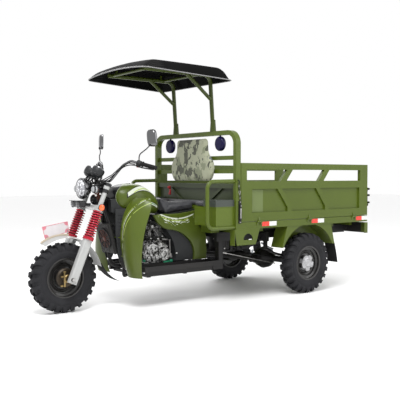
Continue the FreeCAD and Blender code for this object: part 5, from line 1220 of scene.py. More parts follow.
class TRICYCLE_OT_controls(bpy.types.Operator):
    """Dress the handlebar with dials, grips, switches, mirrors and leads, and hang the headlamp"""
    bl_idname = "tricycle.controls"
    bl_label = "Controls"

    def execute(self, context):
        self.dials()
        self.grips()
        self.mirrors()
        self.wiring()
        self.lamp_ears()
        self.lead_clips()
        return {"FINISHED"}

    def dials(self):
        tilt = Vector((0, 0.6157, 0.788))
        bezels, faces, marks, needles, domes = [], [], [], [], []
        for side in (1, -1):
            end = at(side * 0.059, 0.3136, 1.1823)
            place = Matrix.Translation(end) @ facing(tilt)
            domes.append(disc("dial_cup", end, tilt, [
                (0, -0.080), (0.018, -0.079), (0.034, -0.074), (0.046, -0.065), (0.053, -0.050),
                (0.0558, -0.030), (0.0562, -0.014), (0.0545, -0.008), (0, -0.008)], 40))
            bezels.append(disc("dial_bezel", end, tilt, [
                (0.044, -0.002), (0.049, 0.002), (0.0535, -0.001), (0.0535, -0.010),
                (0.050, -0.010)], 40))
            faces.append(disc("dial_face", end, tilt, [
                (0, 0.0006), (0.045, 0.0006), (0.045, -0.002), (0, -0.002)], 40))
            tick = block("dial_tick", (0.034, -0.0009, 0.0006), (0.041, 0.0009, 0.0011))
            for i in range(11):
                turn = Matrix.Rotation(math.radians(-30 + 24 * i), 4, "Z")
                marks.append(copy_of(tick, "dial_tick", place @ turn))
            bpy.data.objects.remove(tick)
            hand = slab("dial_hand", [Vector(p) for p in (
                (-0.008, -0.0016, 0.001), (0.030, -0.0006, 0.001), (0.030, 0.0006, 0.001),
                (-0.008, 0.0016, 0.001))], (0, 0, 0.0008))
            needles.append(moved(hand, place @ Matrix.Rotation(math.radians(-38), 4, "Z")))
            needles.append(disc("dial_hub", end, tilt, [
                (0, 0.0028), (0.004, 0.0024), (0.005, 0.0006), (0, 0.0006)], 16))
        fitted("dial_cups", domes, "black_plastic", "steering")
        fitted("dial_bezels", bezels, "chrome", "steering", finish="dark_chrome")
        fitted("dial_faces", faces, "gloss_black", "steering", finish="dial")
        fitted("dial_ticks", marks, "gloss_black", "steering", finish="marking")
        fitted("dial_hands", needles, "lamp_red", "steering", finish="red_grip")
        key = at(0, 0.300, 1.118)
        fitted("key_switch", [disc("key_switch", key, tilt, [
            (0, 0.020), (0.010, 0.020), (0.013, 0.017), (0.013, 0), (0, 0)], 24),
            rounded(moved(block("key", (-0.001, -0.008, 0.020), (0.001, 0.008, 0.040)),
                          Matrix.Translation(key) @ facing(tilt)), 0.0008)],
            "chrome", "steering")

    def grips(self):
        along = Vector((0.797, 0.546, -0.2575))
        start = at(0.3516, 0.5579, 1.2212)
        profile = [(0, 0), (0.024, 0), (0.0245, 0.003), (0.021, 0.006), (0.0172, 0.007)]
        for i in range(12):
            h = 0.009 + i * 0.0085
            profile += [(0.0178, h), (0.0178, h + 0.0045), (0.0166, h + 0.0055),
                        (0.0166, h + 0.0075)]
        profile += [(0.0195, 0.113), (0.0195, 0.122), (0.016, 0.127), (0, 0.127)]
        fitted("grip_rubbers", both_sides([disc("grip_rubber", start, along, profile, 28)]),
               "rubber", "steering")
        perch = at(0.3245, 0.5394, 1.2299)
        housing = disc("switch_housing", perch, along, [
            (0, -0.020), (0.020, -0.020), (0.0235, -0.016), (0.0235, -0.003), (0.0222, -0.002),
            (0.0222, 0.002), (0.0235, 0.003), (0.0235, 0.016), (0.020, 0.020), (0, 0.020)])
        place = Matrix.Translation(perch) @ facing(along)
        case = rounded(moved(block("switch_case", (-0.014, -0.034, -0.016), (0.014, -0.012, 0.016)),
                             place), 0.004)
        fitted("switch_housings", both_sides([housing, case]), "black_plastic", "steering")
        keys = [rounded(moved(block("switch_key", (-0.010, -0.038, h - 0.004),
                                    (0.010, -0.033, h + 0.004)), place), 0.0015)
                for h in (-0.008, 0.008)]
        fitted("switch_keys", both_sides(keys[:1]), "lamp_red", "steering", finish="red_grip")
        fitted("switch_keys_pale", both_sides(keys[1:]), "chrome", "steering", finish="marking")

    def mirrors(self):
        centre = at(0.419, 0.601, 1.438)
        turn = Matrix.Rotation(math.radians(20), 4, "Z")
        place = Matrix.Translation(centre) @ turn
        rings = ((0.42, -0.0165), (0.70, -0.0150), (0.88, -0.0095), (0.97, 0.000), (1.0, 0.010),
                 (0.985, 0.0160), (0.94, 0.0172))
        case = self.shell("mirror_case", rings)
        modify(case, "SUBSURF", levels=1, render_levels=1)
        glass = self.shell("mirror_glass", ((0.93, 0.0160), (0.93, 0.0176), (0.60, 0.0184)))
        joint = ball("mirror_joint", (-0.010, -0.014, -0.058), (0.011, 0.009, 0.013), 20)
        fitted("mirror_glass", both_sides([moved(glass, place)]), "chrome", "steering",
               finish="looking_glass")
        foot = at(0.3245, 0.5394, 1.2500)
        neck = place @ Vector((-0.010, -0.014, -0.060))
        stalk = wire("mirror_stalk", [foot, foot + Vector((0.004, -0.004, 0.030)),
                                      foot + Vector((0.012, -0.004, 0.056)),
                                      (foot + neck) / 2 + Vector((-0.012, 0.002, 0.016)),
                                      neck + Vector((-0.014, 0, -0.016)), neck], 0.005, 4)
        nut = bolts("stalk_nut", [foot - Vector((0, 0, 0.006))], (0.1, 0, 1), 0.010, 0.012)
        fitted("mirror_stalks", both_sides([stalk, moved(joint, place)] + nut), "gloss_black",
               "steering", angle=50)
        fitted("mirror_cases", both_sides([moved(case, place)]), "chrome", "steering", "mirrors",
               finish="smoked", angle=50)

    def shell(self, name, rings):
        """Stacked rounded rectangles of a mirror, closed at both ends."""
        count, half_w, half_h, squareness, slant = 36, 0.0475, 0.0725, 0.55, 0.10
        corners = []
        for share, depth in rings:
            for i in range(count):
                a = 2 * math.pi * i / count
                x = math.copysign(abs(math.cos(a)) ** squareness, math.cos(a)) * half_w
                z = math.copysign(abs(math.sin(a)) ** squareness, math.sin(a)) * half_h
                corners.append(Vector(((x - z * slant) * share, depth, z * share)))
        faces = [tuple(range(count)), tuple(range(len(corners) - count, len(corners)))]
        for k in range(len(rings) - 1):
            for i in range(count):
                j = (i + 1) % count
                faces.append((k * count + i, k * count + j, (k + 1) * count + j,
                              (k + 1) * count + i))
        piece = outline(name, corners)
        piece.data.clear_geometry()
        piece.data.from_pydata(corners, [], faces)
        return tidy_normals(piece)

    def wiring(self):
        """Leads of the dials, a harness from each switch, and the bundle behind the lamp."""
        dark = [hose("lead", 0.0042, *route) for route in LEADS]
        dark += [hose("harness", 0.0046, (side * 0.318, 0.530, 1.205), (side * 0.260, 0.487, 1.228),
                      (side * 0.170, 0.455, 1.190), (side * 0.110, 0.410, 1.115),
                      (side * 0.070, 0.345, 1.075), (side * 0.050, 0.300, 1.050))
                 for side in (1, -1)]
        fitted("handlebar_leads", dark, "rubber", "steering", angle=60)
        starts = ((0.024, 0.272, 1.112, 0.030), (0.044, 0.284, 1.108, 0.036),
                  (0.064, 0.274, 1.114, 0.026), (0.080, 0.292, 1.104, 0.034),
                  (0.096, 0.300, 1.096, 0.030), (0.110, 0.310, 1.090, 0.026))
        bundle = [hose("bundle", 0.0055, (side * x, y, z), (side * (x + 0.016), y - 0.022, z - sag),
                       (side * (x + 0.010), y + 0.016, z - 0.062),
                       (side * (x - 0.012), y + 0.030, z - 0.088))
                  for side in (1, -1) for x, y, z, sag in starts]
        fitted("lead_bundle", bundle, "rubber", "steering", angle=60)
        warm = [hose("lamp_lead", 0.0034, (x, 0.244, z), (x + 0.012, 0.262, z - 0.010),
                     (x + 0.004, 0.284, z - 0.034), (x - 0.006, 0.300, z - 0.052))
                for x, z in ((0.100, 1.012), (0.090, 1.000), (0.080, 0.985), (0.106, 1.030),
                             (0.070, 0.970), (0.094, 0.988))]
        fitted("lamp_leads", warm, "lamp_red", "steering", finish="rust", angle=60)

    def lead_clips(self):
        """Pale connectors on the lamp's leads."""
        clips = [bar("lead_clip", (x, y, z), (x + 0.010, y + 0.014, z + 0.016), 0.002)
                 for x, y, z in ((0.098, 0.262, 0.992), (0.104, 0.286, 0.966), (0.092, 0.250, 0.955),
                                 (0.070, 0.240, 1.040))]
        fitted("lead_clips", clips, "chrome", "steering", finish="marking")

    def lamp_ears(self):
        """Plates that carry the headlamp from the fork tubes, and the horn under it."""
        ear = sheet("lamp_ear", 0.100, 0.005, 0.0018, (
            (0.216, 1.046), (0.212, 1.000), (0.262, 0.984), (0.330, 0.996), (0.350, 1.010),
            (0.352, 1.052), (0.320, 1.066), (0.262, 1.060)))
        clamp = disc("ear_clamp", fork_at(FORK_HALF, 0, 0.785), FORK_UP, [
            (0.0190, 0), (0.0255, 0), (0.0265, 0.002), (0.0265, 0.030), (0.0255, 0.032),
            (0.0190, 0.032)], 36)
        lug = bar("ear_lug", (0.098, 0.322, 1.008), (0.128, 0.346, 1.034), 0.003)
        screws = bolts("ear_screw", [at(0.105, y, z) for y, z in ((0.232, 1.024), (0.300, 1.030))],
                       (1, 0, 0), 0.006, 0.005)
        spot = at(0.022, 0.284, 0.925)
        ahead = Vector((0.30, -1, 0))
        horn = disc("horn", spot, ahead, [
            (0, 0.006), (0.008, 0.006), (0.010, 0.002), (0.026, 0.002), (0.030, 0.008),
            (0.0415, 0.008), (0.0435, 0.004), (0.0435, -0.002), (0.038, -0.006), (0.024, -0.012),
            (0.022, -0.022), (0, -0.022)], 40)
        strap = bar("horn_strap", (0.012, 0.286, 0.852), (0.032, 0.290, 0.905), 0.0015)
        fitted("lamp_ears", both_sides([ear, lug]) + [horn, strap], "gloss_black", "steering")
        fitted("ear_clamps", both_sides([clamp]), "silver_paint", "steering")
        fitted("ear_screws", both_sides(screws), "steel", "steering")


class TRICYCLE_OT_front_guard(bpy.types.Operator):
    """Stand the blank plate on its strip along the front mudguard, and dress the hub"""
    bl_idname = "tricycle.front_guard"
    bl_label = "Front mudguard and hub"

    def execute(self, context):
        corners = [at(-0.001, y, z) for y, z in
                   ((-0.180, 0.712), (0.044, 0.747), (0.057, 0.664), (-0.156, 0.618))]
        plate = slab("plate", corners, (0.002, 0, 0))
        fitted("front_plate", [plate], "silver_paint", "steering", finish="plate")
        middle = Vector((0.001, 0, 0))
        frame_strips = [rod("plate_frame", a + middle, b + middle, 0.0028, 8)
                        for a, b in zip(corners, corners[1:] + corners[:1])]
        fitted("plate_frame", frame_strips, "chrome", "steering", finish="pink_edge")
        turns = [math.radians(-33 + 2.0 * i) for i in range(22)]
        inner, outer = ([at(-0.004, r * math.sin(turn), AXLE_Z + r * math.cos(turn))
                         for turn in turns] for r in (0.3445, 0.362))
        crest = rounded(slab("crest_strip", inner + outer[::-1], (0.008, 0, 0)), 0.002)
        beads = [ball("crest_bead", (inner[i] + outer[i]) / 2 + Vector((0.004, 0, 0)),
                      (0.0055, 0.006, 0.006), 12) for i in range(1, 21, 2)]
        fitted("crest_strip", [crest] + beads, "rubber", "steering", finish="piping")
        stays = [rod("plate_stay", at(0, y, z), at(0, y2, z2), 0.004, 12)
                 for y, z, y2, z2 in ((-0.135, 0.604, -0.142, 0.636),
                                      (0.040, 0.640, 0.046, 0.680))]
        fitted("plate_stays", stays, "steel", "steering")
        self.hub()
        return {"FINISHED"}

    def hub(self):
        """The brass collar, its strap and the bolts of the front axle."""
        collar = disc("hub_collar", at(0.0, 0, AXLE_Z), (1, 0, 0), [
            (0.020, 0.076), (0.030, 0.076), (0.034, 0.080), (0.034, 0.090), (0.028, 0.094),
            (0.026, 0.100), (0.020, 0.100)], 40)
        strap = bar("hub_strap", (0.079, -0.034, 0.222), (0.090, -0.020, 0.344), 0.002)
        tabs = [bar("hub_tab", (0.079, y, z), (0.092, y + 0.026, z + 0.014), 0.003)
                for y, z in ((-0.066, 0.226), (-0.060, 0.300), (-0.040, 0.338))]
        fitted("hub_collar", [collar, strap] + tabs, "steel", "steering", finish="brass")
        ends = bolts("axle_bolt", [at(0.186, 0, AXLE_Z)], (1, 0, 0), 0.0125, 0.007)
        pins = bolts("clamp_bolt", [at(0.1735, 0.026, 0.262), at(0.1735, -0.012, 0.262)],
                     (1, 0, 0), 0.006, 0.005)
        fitted("axle_bolts", both_sides(ends + pins), "steel", "steering")


class TRICYCLE_OT_trim(bpy.types.Operator):
    """Fit tapes, a faded patch, latches, chains, the red lever and the tank's cap"""
    bl_idname = "tricycle.trim"
    bl_label = "Trim and latches"

    def execute(self, context):
        red, white = [], []
        inner, outer, low, high = 0.6255, 0.6268, 0.671, 0.711
        for first, last in ((1.656, 1.839), (2.308, 2.486), (2.971, 3.150)):
            middle = (first + last) / 2
            red.append(block("tape", at(inner, first, low), at(outer, middle, high)))
            white.append(block("tape", at(inner, middle, low), at(outer, last, high)))
        fitted("red_tapes", both_sides(red), "lamp_red", "chassis", finish="tape_red")
        fitted("white_tapes", both_sides(white), "lamp_clear", "chassis", finish="tape_white")
        patch = bar("patch", (0.6070, 1.537, 0.800), (0.6086, 1.683, 1.000), 0.0005, 1)
        fitted("board_patch", [patch], "body_green", "side_board_left", finish="patch")
        self.front_latches()
        self.rear_latches()
        self.lever()
        self.cap()
        return {"FINISHED"}

    def front_latches(self):
        """Latch, hook and hanging chain at the front corner of each side."""
        dark, shiny = [], []
        for i in range(9):
            deselect()
            bpy.ops.mesh.primitive_torus_add(major_segments=12, minor_segments=6,
                                             major_radius=0.0085, minor_radius=0.0022,
                                             rotation=(0, math.pi / 2, 0))
            link = take("chain_link")
            turn = Matrix.Rotation(math.radians(35 if i % 2 else -40), 4, "Z")
            place = at(0.633, 1.372 + 0.0022 * i, 1.052 - 0.0175 * i)
            moved(link, Matrix.Translation(place) @ turn @ Matrix.Scale(1.25, 4, (0, 0, 1)))
            group = shiny if i in (1, 4, 5, 7) else dark
            group.append(link)
        hook = hose("latch_hook", 0.004, (0.628, 1.366, 1.085), (0.638, 1.360, 1.092),
                    (0.646, 1.368, 1.078), (0.640, 1.374, 1.062))
        plate = bar("latch_plate", (0.625, 1.372, 0.708), (0.633, 1.402, 0.905), 0.002)
        handle = sheet("latch_handle", 0.633, 0.011, 0.003, (
            (1.378, 0.735), (1.396, 0.730), (1.400, 0.800), (1.394, 0.872), (1.384, 0.884),
            (1.376, 0.862)))
        grip = rounded(rod("latch_grip", at(0.640, 1.387, 0.752), at(0.643, 1.387, 0.840),
                           0.0075, 12), 0.002)
        pins = bolts("latch_pin", [at(0.633, 1.387, 0.718), at(0.633, 1.387, 0.895),
                                   at(0.644, 1.388, 0.862)], (1, 0, 0), 0.005, 0.005)
        fitted("front_latches", both_sides(dark + [hook, plate, handle]), "frame_black", "chassis")
        fitted("front_latch_pins", both_sides(shiny + pins + [grip]), "steel", "chassis")

    def rear_latches(self):
        """Latches that turn with the side boards."""
        base = bar("latch_base", (0.598, 3.1500, 0.800), (0.624, 3.1550, 1.020), 0.002)
        lever = sheet("latch_lever", 0.602, 0.018, 0.003, (
            (3.155, 0.835), (3.172, 0.812), (3.178, 0.826), (3.166, 0.850), (3.164, 0.960),
            (3.172, 0.985), (3.168, 1.005), (3.155, 1.000)))
        knobs = [disc("latch_knob", at(0.624, 3.166, z), (1, 0, 0), [
            (0, 0.016), (0.008, 0.016), (0.011, 0.012), (0.011, 0), (0, 0)], 20)
            for z in (0.850, 0.925, 0.990)]
        for side, matrix in (("left", Matrix.Identity(4)), ("right", MIRROR)):
            pieces = [copy_of(piece, piece.name, matrix) for piece in [base, lever] + knobs]
            fitted("rear_latch_" + side, pieces, "frame_black", "side_board_" + side)
        for piece in [base, lever] + knobs:
            bpy.data.objects.remove(piece)

    def lever(self):
        """The red lever on the seat box."""
        blade = rounded(slab("lever", [at(x, 1.333, z) for x, z in (
            (-0.362, 0.940), (-0.340, 0.940), (-0.338, 0.985), (-0.344, 1.030), (-0.360, 1.030),
            (-0.366, 0.985))], (0, 0.007, 0)), 0.002)
        knob = disc("lever_knob", at(-0.351, 1.333, 1.012), (0, -1, 0), [
            (0, 0.022), (0.010, 0.021), (0.014, 0.015), (0.012, 0.004), (0.012, 0), (0, 0)], 24)
        foot = disc("lever_foot", at(-0.351, 1.333, 0.952), (0, -1, 0), [
            (0, 0.008), (0.012, 0.008), (0.015, 0.004), (0.015, 0), (0, 0)], 24)
        fitted("red_lever", [blade, knob, foot], "lamp_red", "chassis", finish="red_grip")

    def cap(self):
        """The lid on the tank, with its key flap."""
        cap = disc("tank_cap", at(0, 0.640, 1.052), (0, 0, 1), [
            (0, 0.017), (0.018, 0.0165), (0.027, 0.014), (0.033, 0.009), (0.034, 0.004),
            (0.040, 0.003), (0.041, -0.006), (0, -0.006)], 48)
        latch = bar("cap_flap", (-0.007, 0.626, 1.066), (0.007, 0.664, 1.0715), 0.002)
        fitted("tank_cap", [cap, latch], "chrome", "chassis")


class TRICYCLE_OT_engine_bay(bpy.types.Operator):
    """Dress the engine with covers, carburettor, pipes and hoses; fit the fan and inner guards"""
    bl_idname = "tricycle.engine_bay"
    bl_label = "Engine bay"

    def execute(self, context):
        self.covers()
        self.top_end()
        self.pipes()
        self.fan()
        self.inner_guards()
        return {"FINISHED"}

    def covers(self):
        """Covers, fins and bolts on the side of the crankcase."""
        out = Vector((1, 0, 0))
        front, rear = at(0.138, 0.795, 0.448), at(0.126, 0.925, 0.430)
        cast = [disc("clutch_cover", front, out, [
            (0, 0.004), (0.018, 0.004), (0.020, 0.011), (0.034, 0.011), (0.036, 0.003),
            (0.060, 0.002), (0.064, 0.008), (0.0775, 0.008), (0.0785, 0.005), (0.0785, -0.014),
            (0.0815, -0.016), (0.0815, -0.030), (0, -0.030)], 56),
            disc("sprocket_cover", rear, out, [
                (0, 0.002), (0.024, 0.002), (0.026, 0.010), (0.032, 0.010), (0.034, 0.002),
                (0.052, 0.002), (0.0615, 0.007), (0.0625, 0.002), (0.0625, -0.022), (0, -0.022)], 48)]
        for low, high, count, centre in (
                ((0.034, -0.003, 0.001), (0.064, 0.003, 0.008), 7, front),
                ((0.032, -0.0025, 0.001), (0.056, 0.0025, 0.007), 5, rear)):
            cast += spokes(rounded(block("cover_rib", low, high), 0.001), count, centre, out)
        cast += spokes(rod("cover_boss", (0.0815, 0, -0.026), (0.0815, 0, 0.004), 0.0085, 12), 8,
                       front, out)
        cast.append(sheet("gearbox_cover", 0.090, 0.026, 0.006, (
            (0.850, 0.372), (0.960, 0.366), (0.992, 0.392), (0.998, 0.440), (0.984, 0.492),
            (0.935, 0.528), (0.872, 0.540), (0.845, 0.515))))
        cast += [bar("case_fin", (0.080, 0.742 + 0.0135 * i, 0.500 + 0.006 * i),
                     (0.122, 0.7475 + 0.0135 * i, 0.548 + 0.004 * i), 0.001) for i in range(6)]
        cast += [bar("sump_fin", (-0.080, 0.760 + 0.028 * i, 0.350),
                     (0.094, 0.766 + 0.028 * i, 0.366), 0.001) for i in range(8)]
        fitted("engine_covers", cast, "engine_alloy", "chassis", finish="bright_alloy")
        spots = [front + Vector((0.004, 0.0815 * math.cos(a), 0.0815 * math.sin(a)))
                 for a in (math.pi / 4 * i for i in range(8))]
        spots += [at(0.116, y, z) for y, z in ((0.975, 0.385), (0.984, 0.440), (0.968, 0.490),
                                               (0.925, 0.520), (0.872, 0.526))]
        spots += [rear + Vector((0.006, 0.056 * math.cos(a), 0.056 * math.sin(a)))
                  for a in (math.pi / 3 * i + 0.3 for i in range(6))]
        fitted("engine_bolts", bolts("engine_bolt", spots, out, 0.0058, 0.006), "steel", "chassis")

    def top_end(self):
        """Cylinder head, carburettor, starter and spark plug."""
        up = engine_at(0, 0, 1) - engine_at(0, 0, 0)
        cast = [rod("chain_tunnel", engine_at(0.056, 0.0, 0.004), engine_at(0.056, 0.0, 0.130),
                    0.024, 20),
                rounded(moved(block("rocker_cover", (-0.062, -0.048, 0.172), (0.068, 0.048, 0.200)),
                              self.lean()), 0.009, 3),
                disc("cam_cap", engine_at(0.073, -0.010, 0.152), (1, 0, 0), [
                    (0, 0.016), (0.016, 0.016), (0.019, 0.011), (0.030, 0.010), (0.034, 0.005),
                    (0.034, 0), (0, 0)], 36),
                rod("water_outlet", engine_at(0.030, -0.058, 0.150), engine_at(0.060, -0.105, 0.170),
                    0.017, 20),
                rod("carb_neck", engine_at(0.030, 0.050, 0.148), engine_at(0.045, 0.110, 0.128),
                    0.018, 20)]
        cast += [moved(block("head_fin", (-0.078, -0.060, h), (0.080, 0.060, h + 0.004)),
                       self.lean()) for h in (0.120, 0.132, 0.144, 0.156)]
        cast += [rod("cover_rib", engine_at(x, -0.040, 0.203), engine_at(x, 0.040, 0.203), 0.004, 10)
                 for x in (-0.040, -0.014, 0.014, 0.040)]
        body = engine_at(0.050, 0.130, 0.122)
        cast += [disc("carb_barrel", body, engine_at(0.050, 0.18, 0.105) - body, [
            (0, -0.020), (0.022, -0.020), (0.024, -0.016), (0.024, 0.010), (0.030, 0.012),
            (0.030, 0.018), (0.022, 0.020), (0.022, 0.034), (0, 0.034)], 28),
            disc("carb_slide", body + up * 0.014, up, [
                (0, 0.058), (0.010, 0.058), (0.012, 0.050), (0.020, 0.048), (0.021, 0.044),
                (0.021, 0.004), (0, 0.004)], 24),
            rounded(moved(block("carb_bowl", (-0.021, -0.020, -0.052), (0.021, 0.022, -0.018)),
                          Matrix.Translation(body)), 0.006, 3),
            rounded(moved(block("carb_bowl_rim", (-0.026, -0.025, -0.022), (0.026, 0.027, -0.015)),
                          Matrix.Translation(body)), 0.002)]
        cast.append(rounded(rod("starter", at(-0.055, 0.945, 0.545), at(0.095, 0.945, 0.545),
                                0.031, 28), 0.005))
        fitted("engine_top", cast, "engine_alloy", "chassis", finish="dark_alloy")
        nuts = [engine_at(x, y, 0.198) for x in (-0.050, 0.056) for y in (-0.036, 0.036)]
        studs = bolts("head_nut", nuts, up, 0.0075, 0.010)
        studs += bolts("cap_bolt", [engine_at(0.083, -0.010 + 0.026 * math.cos(a),
                                              0.152 + 0.026 * math.sin(a))
                                    for a in (0.5, 2.6, 4.7)], (1, 0, 0), 0.005, 0.005)
        studs += bolts("bowl_bolt", [body + Vector((x, y, -0.054)) for x in (-0.018, 0.018)
                                     for y in (-0.016, 0.018)], (0, 0, 1), 0.003, 0.006)
        fitted("engine_nuts", studs, "steel", "chassis")
        plug = engine_at(0.080, 0.030, 0.150)
        out = Vector((0.9, 0.25, 0.25))
        fitted("spark_plug", [disc("spark_plug", plug, out, [
            (0, 0.034), (0.004, 0.034), (0.005, 0.016), (0.009, 0.014), (0.009, 0.004),
            (0.012, 0.003), (0.012, 0), (0, 0)], 16)], "chrome", "chassis", finish="marking")
        fitted("air_boot", [disc("air_boot", engine_at(0.045, 0.158, 0.110), (0, 1, 0.10), [
            (0, 0), (0.026, 0), (0.028, 0.004), (0.028, 0.010), (0.024, 0.014), (0.028, 0.020),
            (0.024, 0.026), (0.028, 0.032), (0.024, 0.038), (0.030, 0.046), (0.032, 0.060),
            (0, 0.060)], 28),
            disc("plug_cap", plug + out.normalized() * 0.020, out, [
                (0, 0.022), (0.007, 0.021), (0.009, 0.016), (0.009, 0), (0, 0)], 16)],
            "rubber", "chassis")

    def lean(self):
        """The move that lays the upright cylinder drawing on the leaning engine."""
        return Matrix.Translation(engine_at(0, 0, 0)) @ Matrix.Rotation(ENGINE_LEAN, 4, "X")

    def pipes(self):
        """Pipes, shift linkage, hoses, clips and plugs round the engine."""
        steel = [wire("oil_pipe", [engine_at(0.088, 0.034, 0.118), engine_at(0.112, 0.044, 0.090),
                                   engine_at(0.116, 0.050, 0.050), at(0.124, 0.884, 0.528)],
                      0.0035, 3),
                 wire("breather", [engine_at(0.090, -0.030, 0.125), engine_at(0.120, -0.046, 0.080),
                                   engine_at(0.118, -0.050, 0.020), at(0.130, 0.842, 0.494)],
                      0.0035, 3),
                 rod("shift_rod", at(0.150, 0.973, 0.551), at(0.150, 0.980, 0.420), 0.0038, 12),
                 rod("shift_shaft", at(0.100, 0.985, 0.402), at(0.160, 0.985, 0.402), 0.008, 16),
                 sheet("shift_arm", 0.148, 0.006, 0.0015, (
                     (0.972, 0.396), (0.996, 0.394), (0.992, 0.430), (0.976, 0.434))),
                 rod("shift_pin", at(0.118, 0.972, 0.552), at(0.158, 0.972, 0.552), 0.005, 12),
                 sheet("rocker_arm", 0.116, 0.006, 0.0015, (
                     (0.908, 0.566), (0.918, 0.556), (0.976, 0.545), (0.980, 0.558))),
                 hose("clutch_arm", 0.0042, (0.142, 0.812, 0.536), (0.140, 0.838, 0.556),
                      (0.132, 0.872, 0.552), (0.128, 0.900, 0.540))]
        steel += [disc("banjo", place, (1, 0, 0), [
            (0, top), (0.006, top), (0.0065, top - 0.004), (0.0085, top - 0.005),
            (0.0085, top - 0.014), (0, top - 0.014)], 12)
            for place, top in ((engine_at(0.088, 0.034, 0.118), 0.008),
                               (at(0.118, 0.884, 0.528), 0.012))]
        fitted("engine_pipes", steel, "steel", "chassis", angle=50)
        dark = [wire("plug_lead", [engine_at(0.112, 0.040, 0.160), engine_at(0.128, 0.020, 0.180),
                                   engine_at(0.090, -0.010, 0.230), engine_at(0.030, -0.020, 0.250)],
                     0.0042, 3),
                hose("clutch_cable", 0.0045, (0.142, 0.812, 0.536), (0.150, 0.770, 0.560),
                     (0.120, 0.720, 0.640), (0.080, 0.680, 0.740)),
                wire("fuel_hose", [engine_at(0.060, 0.130, 0.150), engine_at(0.090, 0.120, 0.190),
                                   at(0.080, 0.900, 0.740), at(0.050, 0.880, 0.800)], 0.005, 3),
                wire("overflow", [engine_at(0.050, 0.130, 0.070), engine_at(0.080, 0.150, 0.030),
                                  at(0.128, 0.985, 0.520), at(0.120, 1.000, 0.420)], 0.0035, 3),
                wire("top_hose", [engine_at(0.060, -0.105, 0.170), at(0.085, 0.650, 0.712),
                                  at(0.085, 0.540, 0.720), at(0.085, 0.430, 0.700)], 0.015, 4),
                wire("low_hose", [at(0.080, 0.735, 0.430), at(0.095, 0.660, 0.440),
                                  at(0.090, 0.560, 0.455), at(0.085, 0.475, 0.480)], 0.015, 4),
                hose("loom", 0.0045, (0.140, 0.750, 0.590), (0.155, 0.800, 0.575),
                     (0.150, 0.860, 0.590), (0.130, 0.930, 0.575))]
        fitted("engine_hoses", dark, "rubber", "chassis", angle=60)
        clips = [bar("hose_clip", (x, y, z), (x + 0.012, y + 0.012, z + 0.008), 0.002)
                 for x, y, z in ((0.118, 0.905, 0.582), (0.146, 0.838, 0.566), (0.134, 0.770, 0.572),
                                 (0.150, 1.040, 0.425), (0.120, 0.722, 0.470))]
        fitted("hose_clips", clips, "chrome", "chassis", finish="marking")
        plugs = [ball("drain_plug", at(0.146, 0.992, 0.362), (0.016, 0.018, 0.016), 16),
                 rod("drain_pipe", at(0.140, 0.915, 0.356), at(0.140, 0.985, 0.360), 0.008, 12),
                 bar("filler_cap", (0.120, 0.700, 0.372), (0.144, 0.722, 0.392), 0.004)]
        fitted("drain_caps", plugs, "black_plastic", "chassis", finish="green_moulding")

    def fan(self):
        """The radiator's fan, with its ring and wire guard."""
        centre, ahead = at(0, 0.3965, 0.587), Vector((0, -0.9627, -0.2706))
        ring = disc("fan_ring", centre, ahead, [
            (0.084, 0), (0.091, 0), (0.092, 0.004), (0.090, 0.008), (0.085, 0.008),
            (0.083, 0.004)], 48)
        guards = [disc("fan_guard", centre, ahead, [
            (r, 0.0055), (r + 0.002, 0.0055), (r + 0.002, 0.0075), (r, 0.0075)], 40)
            for r in (0.038, 0.052, 0.066)]
        arms = spokes(rod("fan_arm", (0.020, 0, 0.006), (0.086, 0, 0.006), 0.0016, 8), 8,
                      centre, ahead)
        fitted("fan_guard", [ring] + guards + arms, "frame_black", "chassis")
        blade = slab("fan_blade", [Vector(p) for p in (
            (0.024, -0.006, 0.001), (0.080, -0.016, 0.0005), (0.080, 0.018, 0.003),
            (0.024, 0.008, 0.003))], (0, 0, 0.0012))
        hub = disc("fan_hub", centre, ahead, [
            (0, 0.0085), (0.018, 0.008), (0.026, 0.004), (0.026, 0), (0, 0)], 32)
        fitted("fan", spokes(blade, 9, centre, ahead) + [hub], "black_plastic", "chassis",
               finish="rust")

    def inner_guards(self):
        """Dark louvred plates behind the leg shields."""
        guard = sheet("inner_guard", 0.121, 0.004, 0.0015, (
            (0.430, 0.846), (0.600, 0.846), (0.610, 0.640), (0.585, 0.500), (0.540, 0.400),
            (0.480, 0.400), (0.452, 0.480), (0.430, 0.640)))
        louvres = [bar("louvre", (0.124, 0.455, 0.520 + 0.030 * i),
                       (0.129, 0.580, 0.528 + 0.030 * i), 0.002) for i in range(10)]
        fitted("inner_guards", both_sides([guard] + louvres), "black_plastic", "chassis")


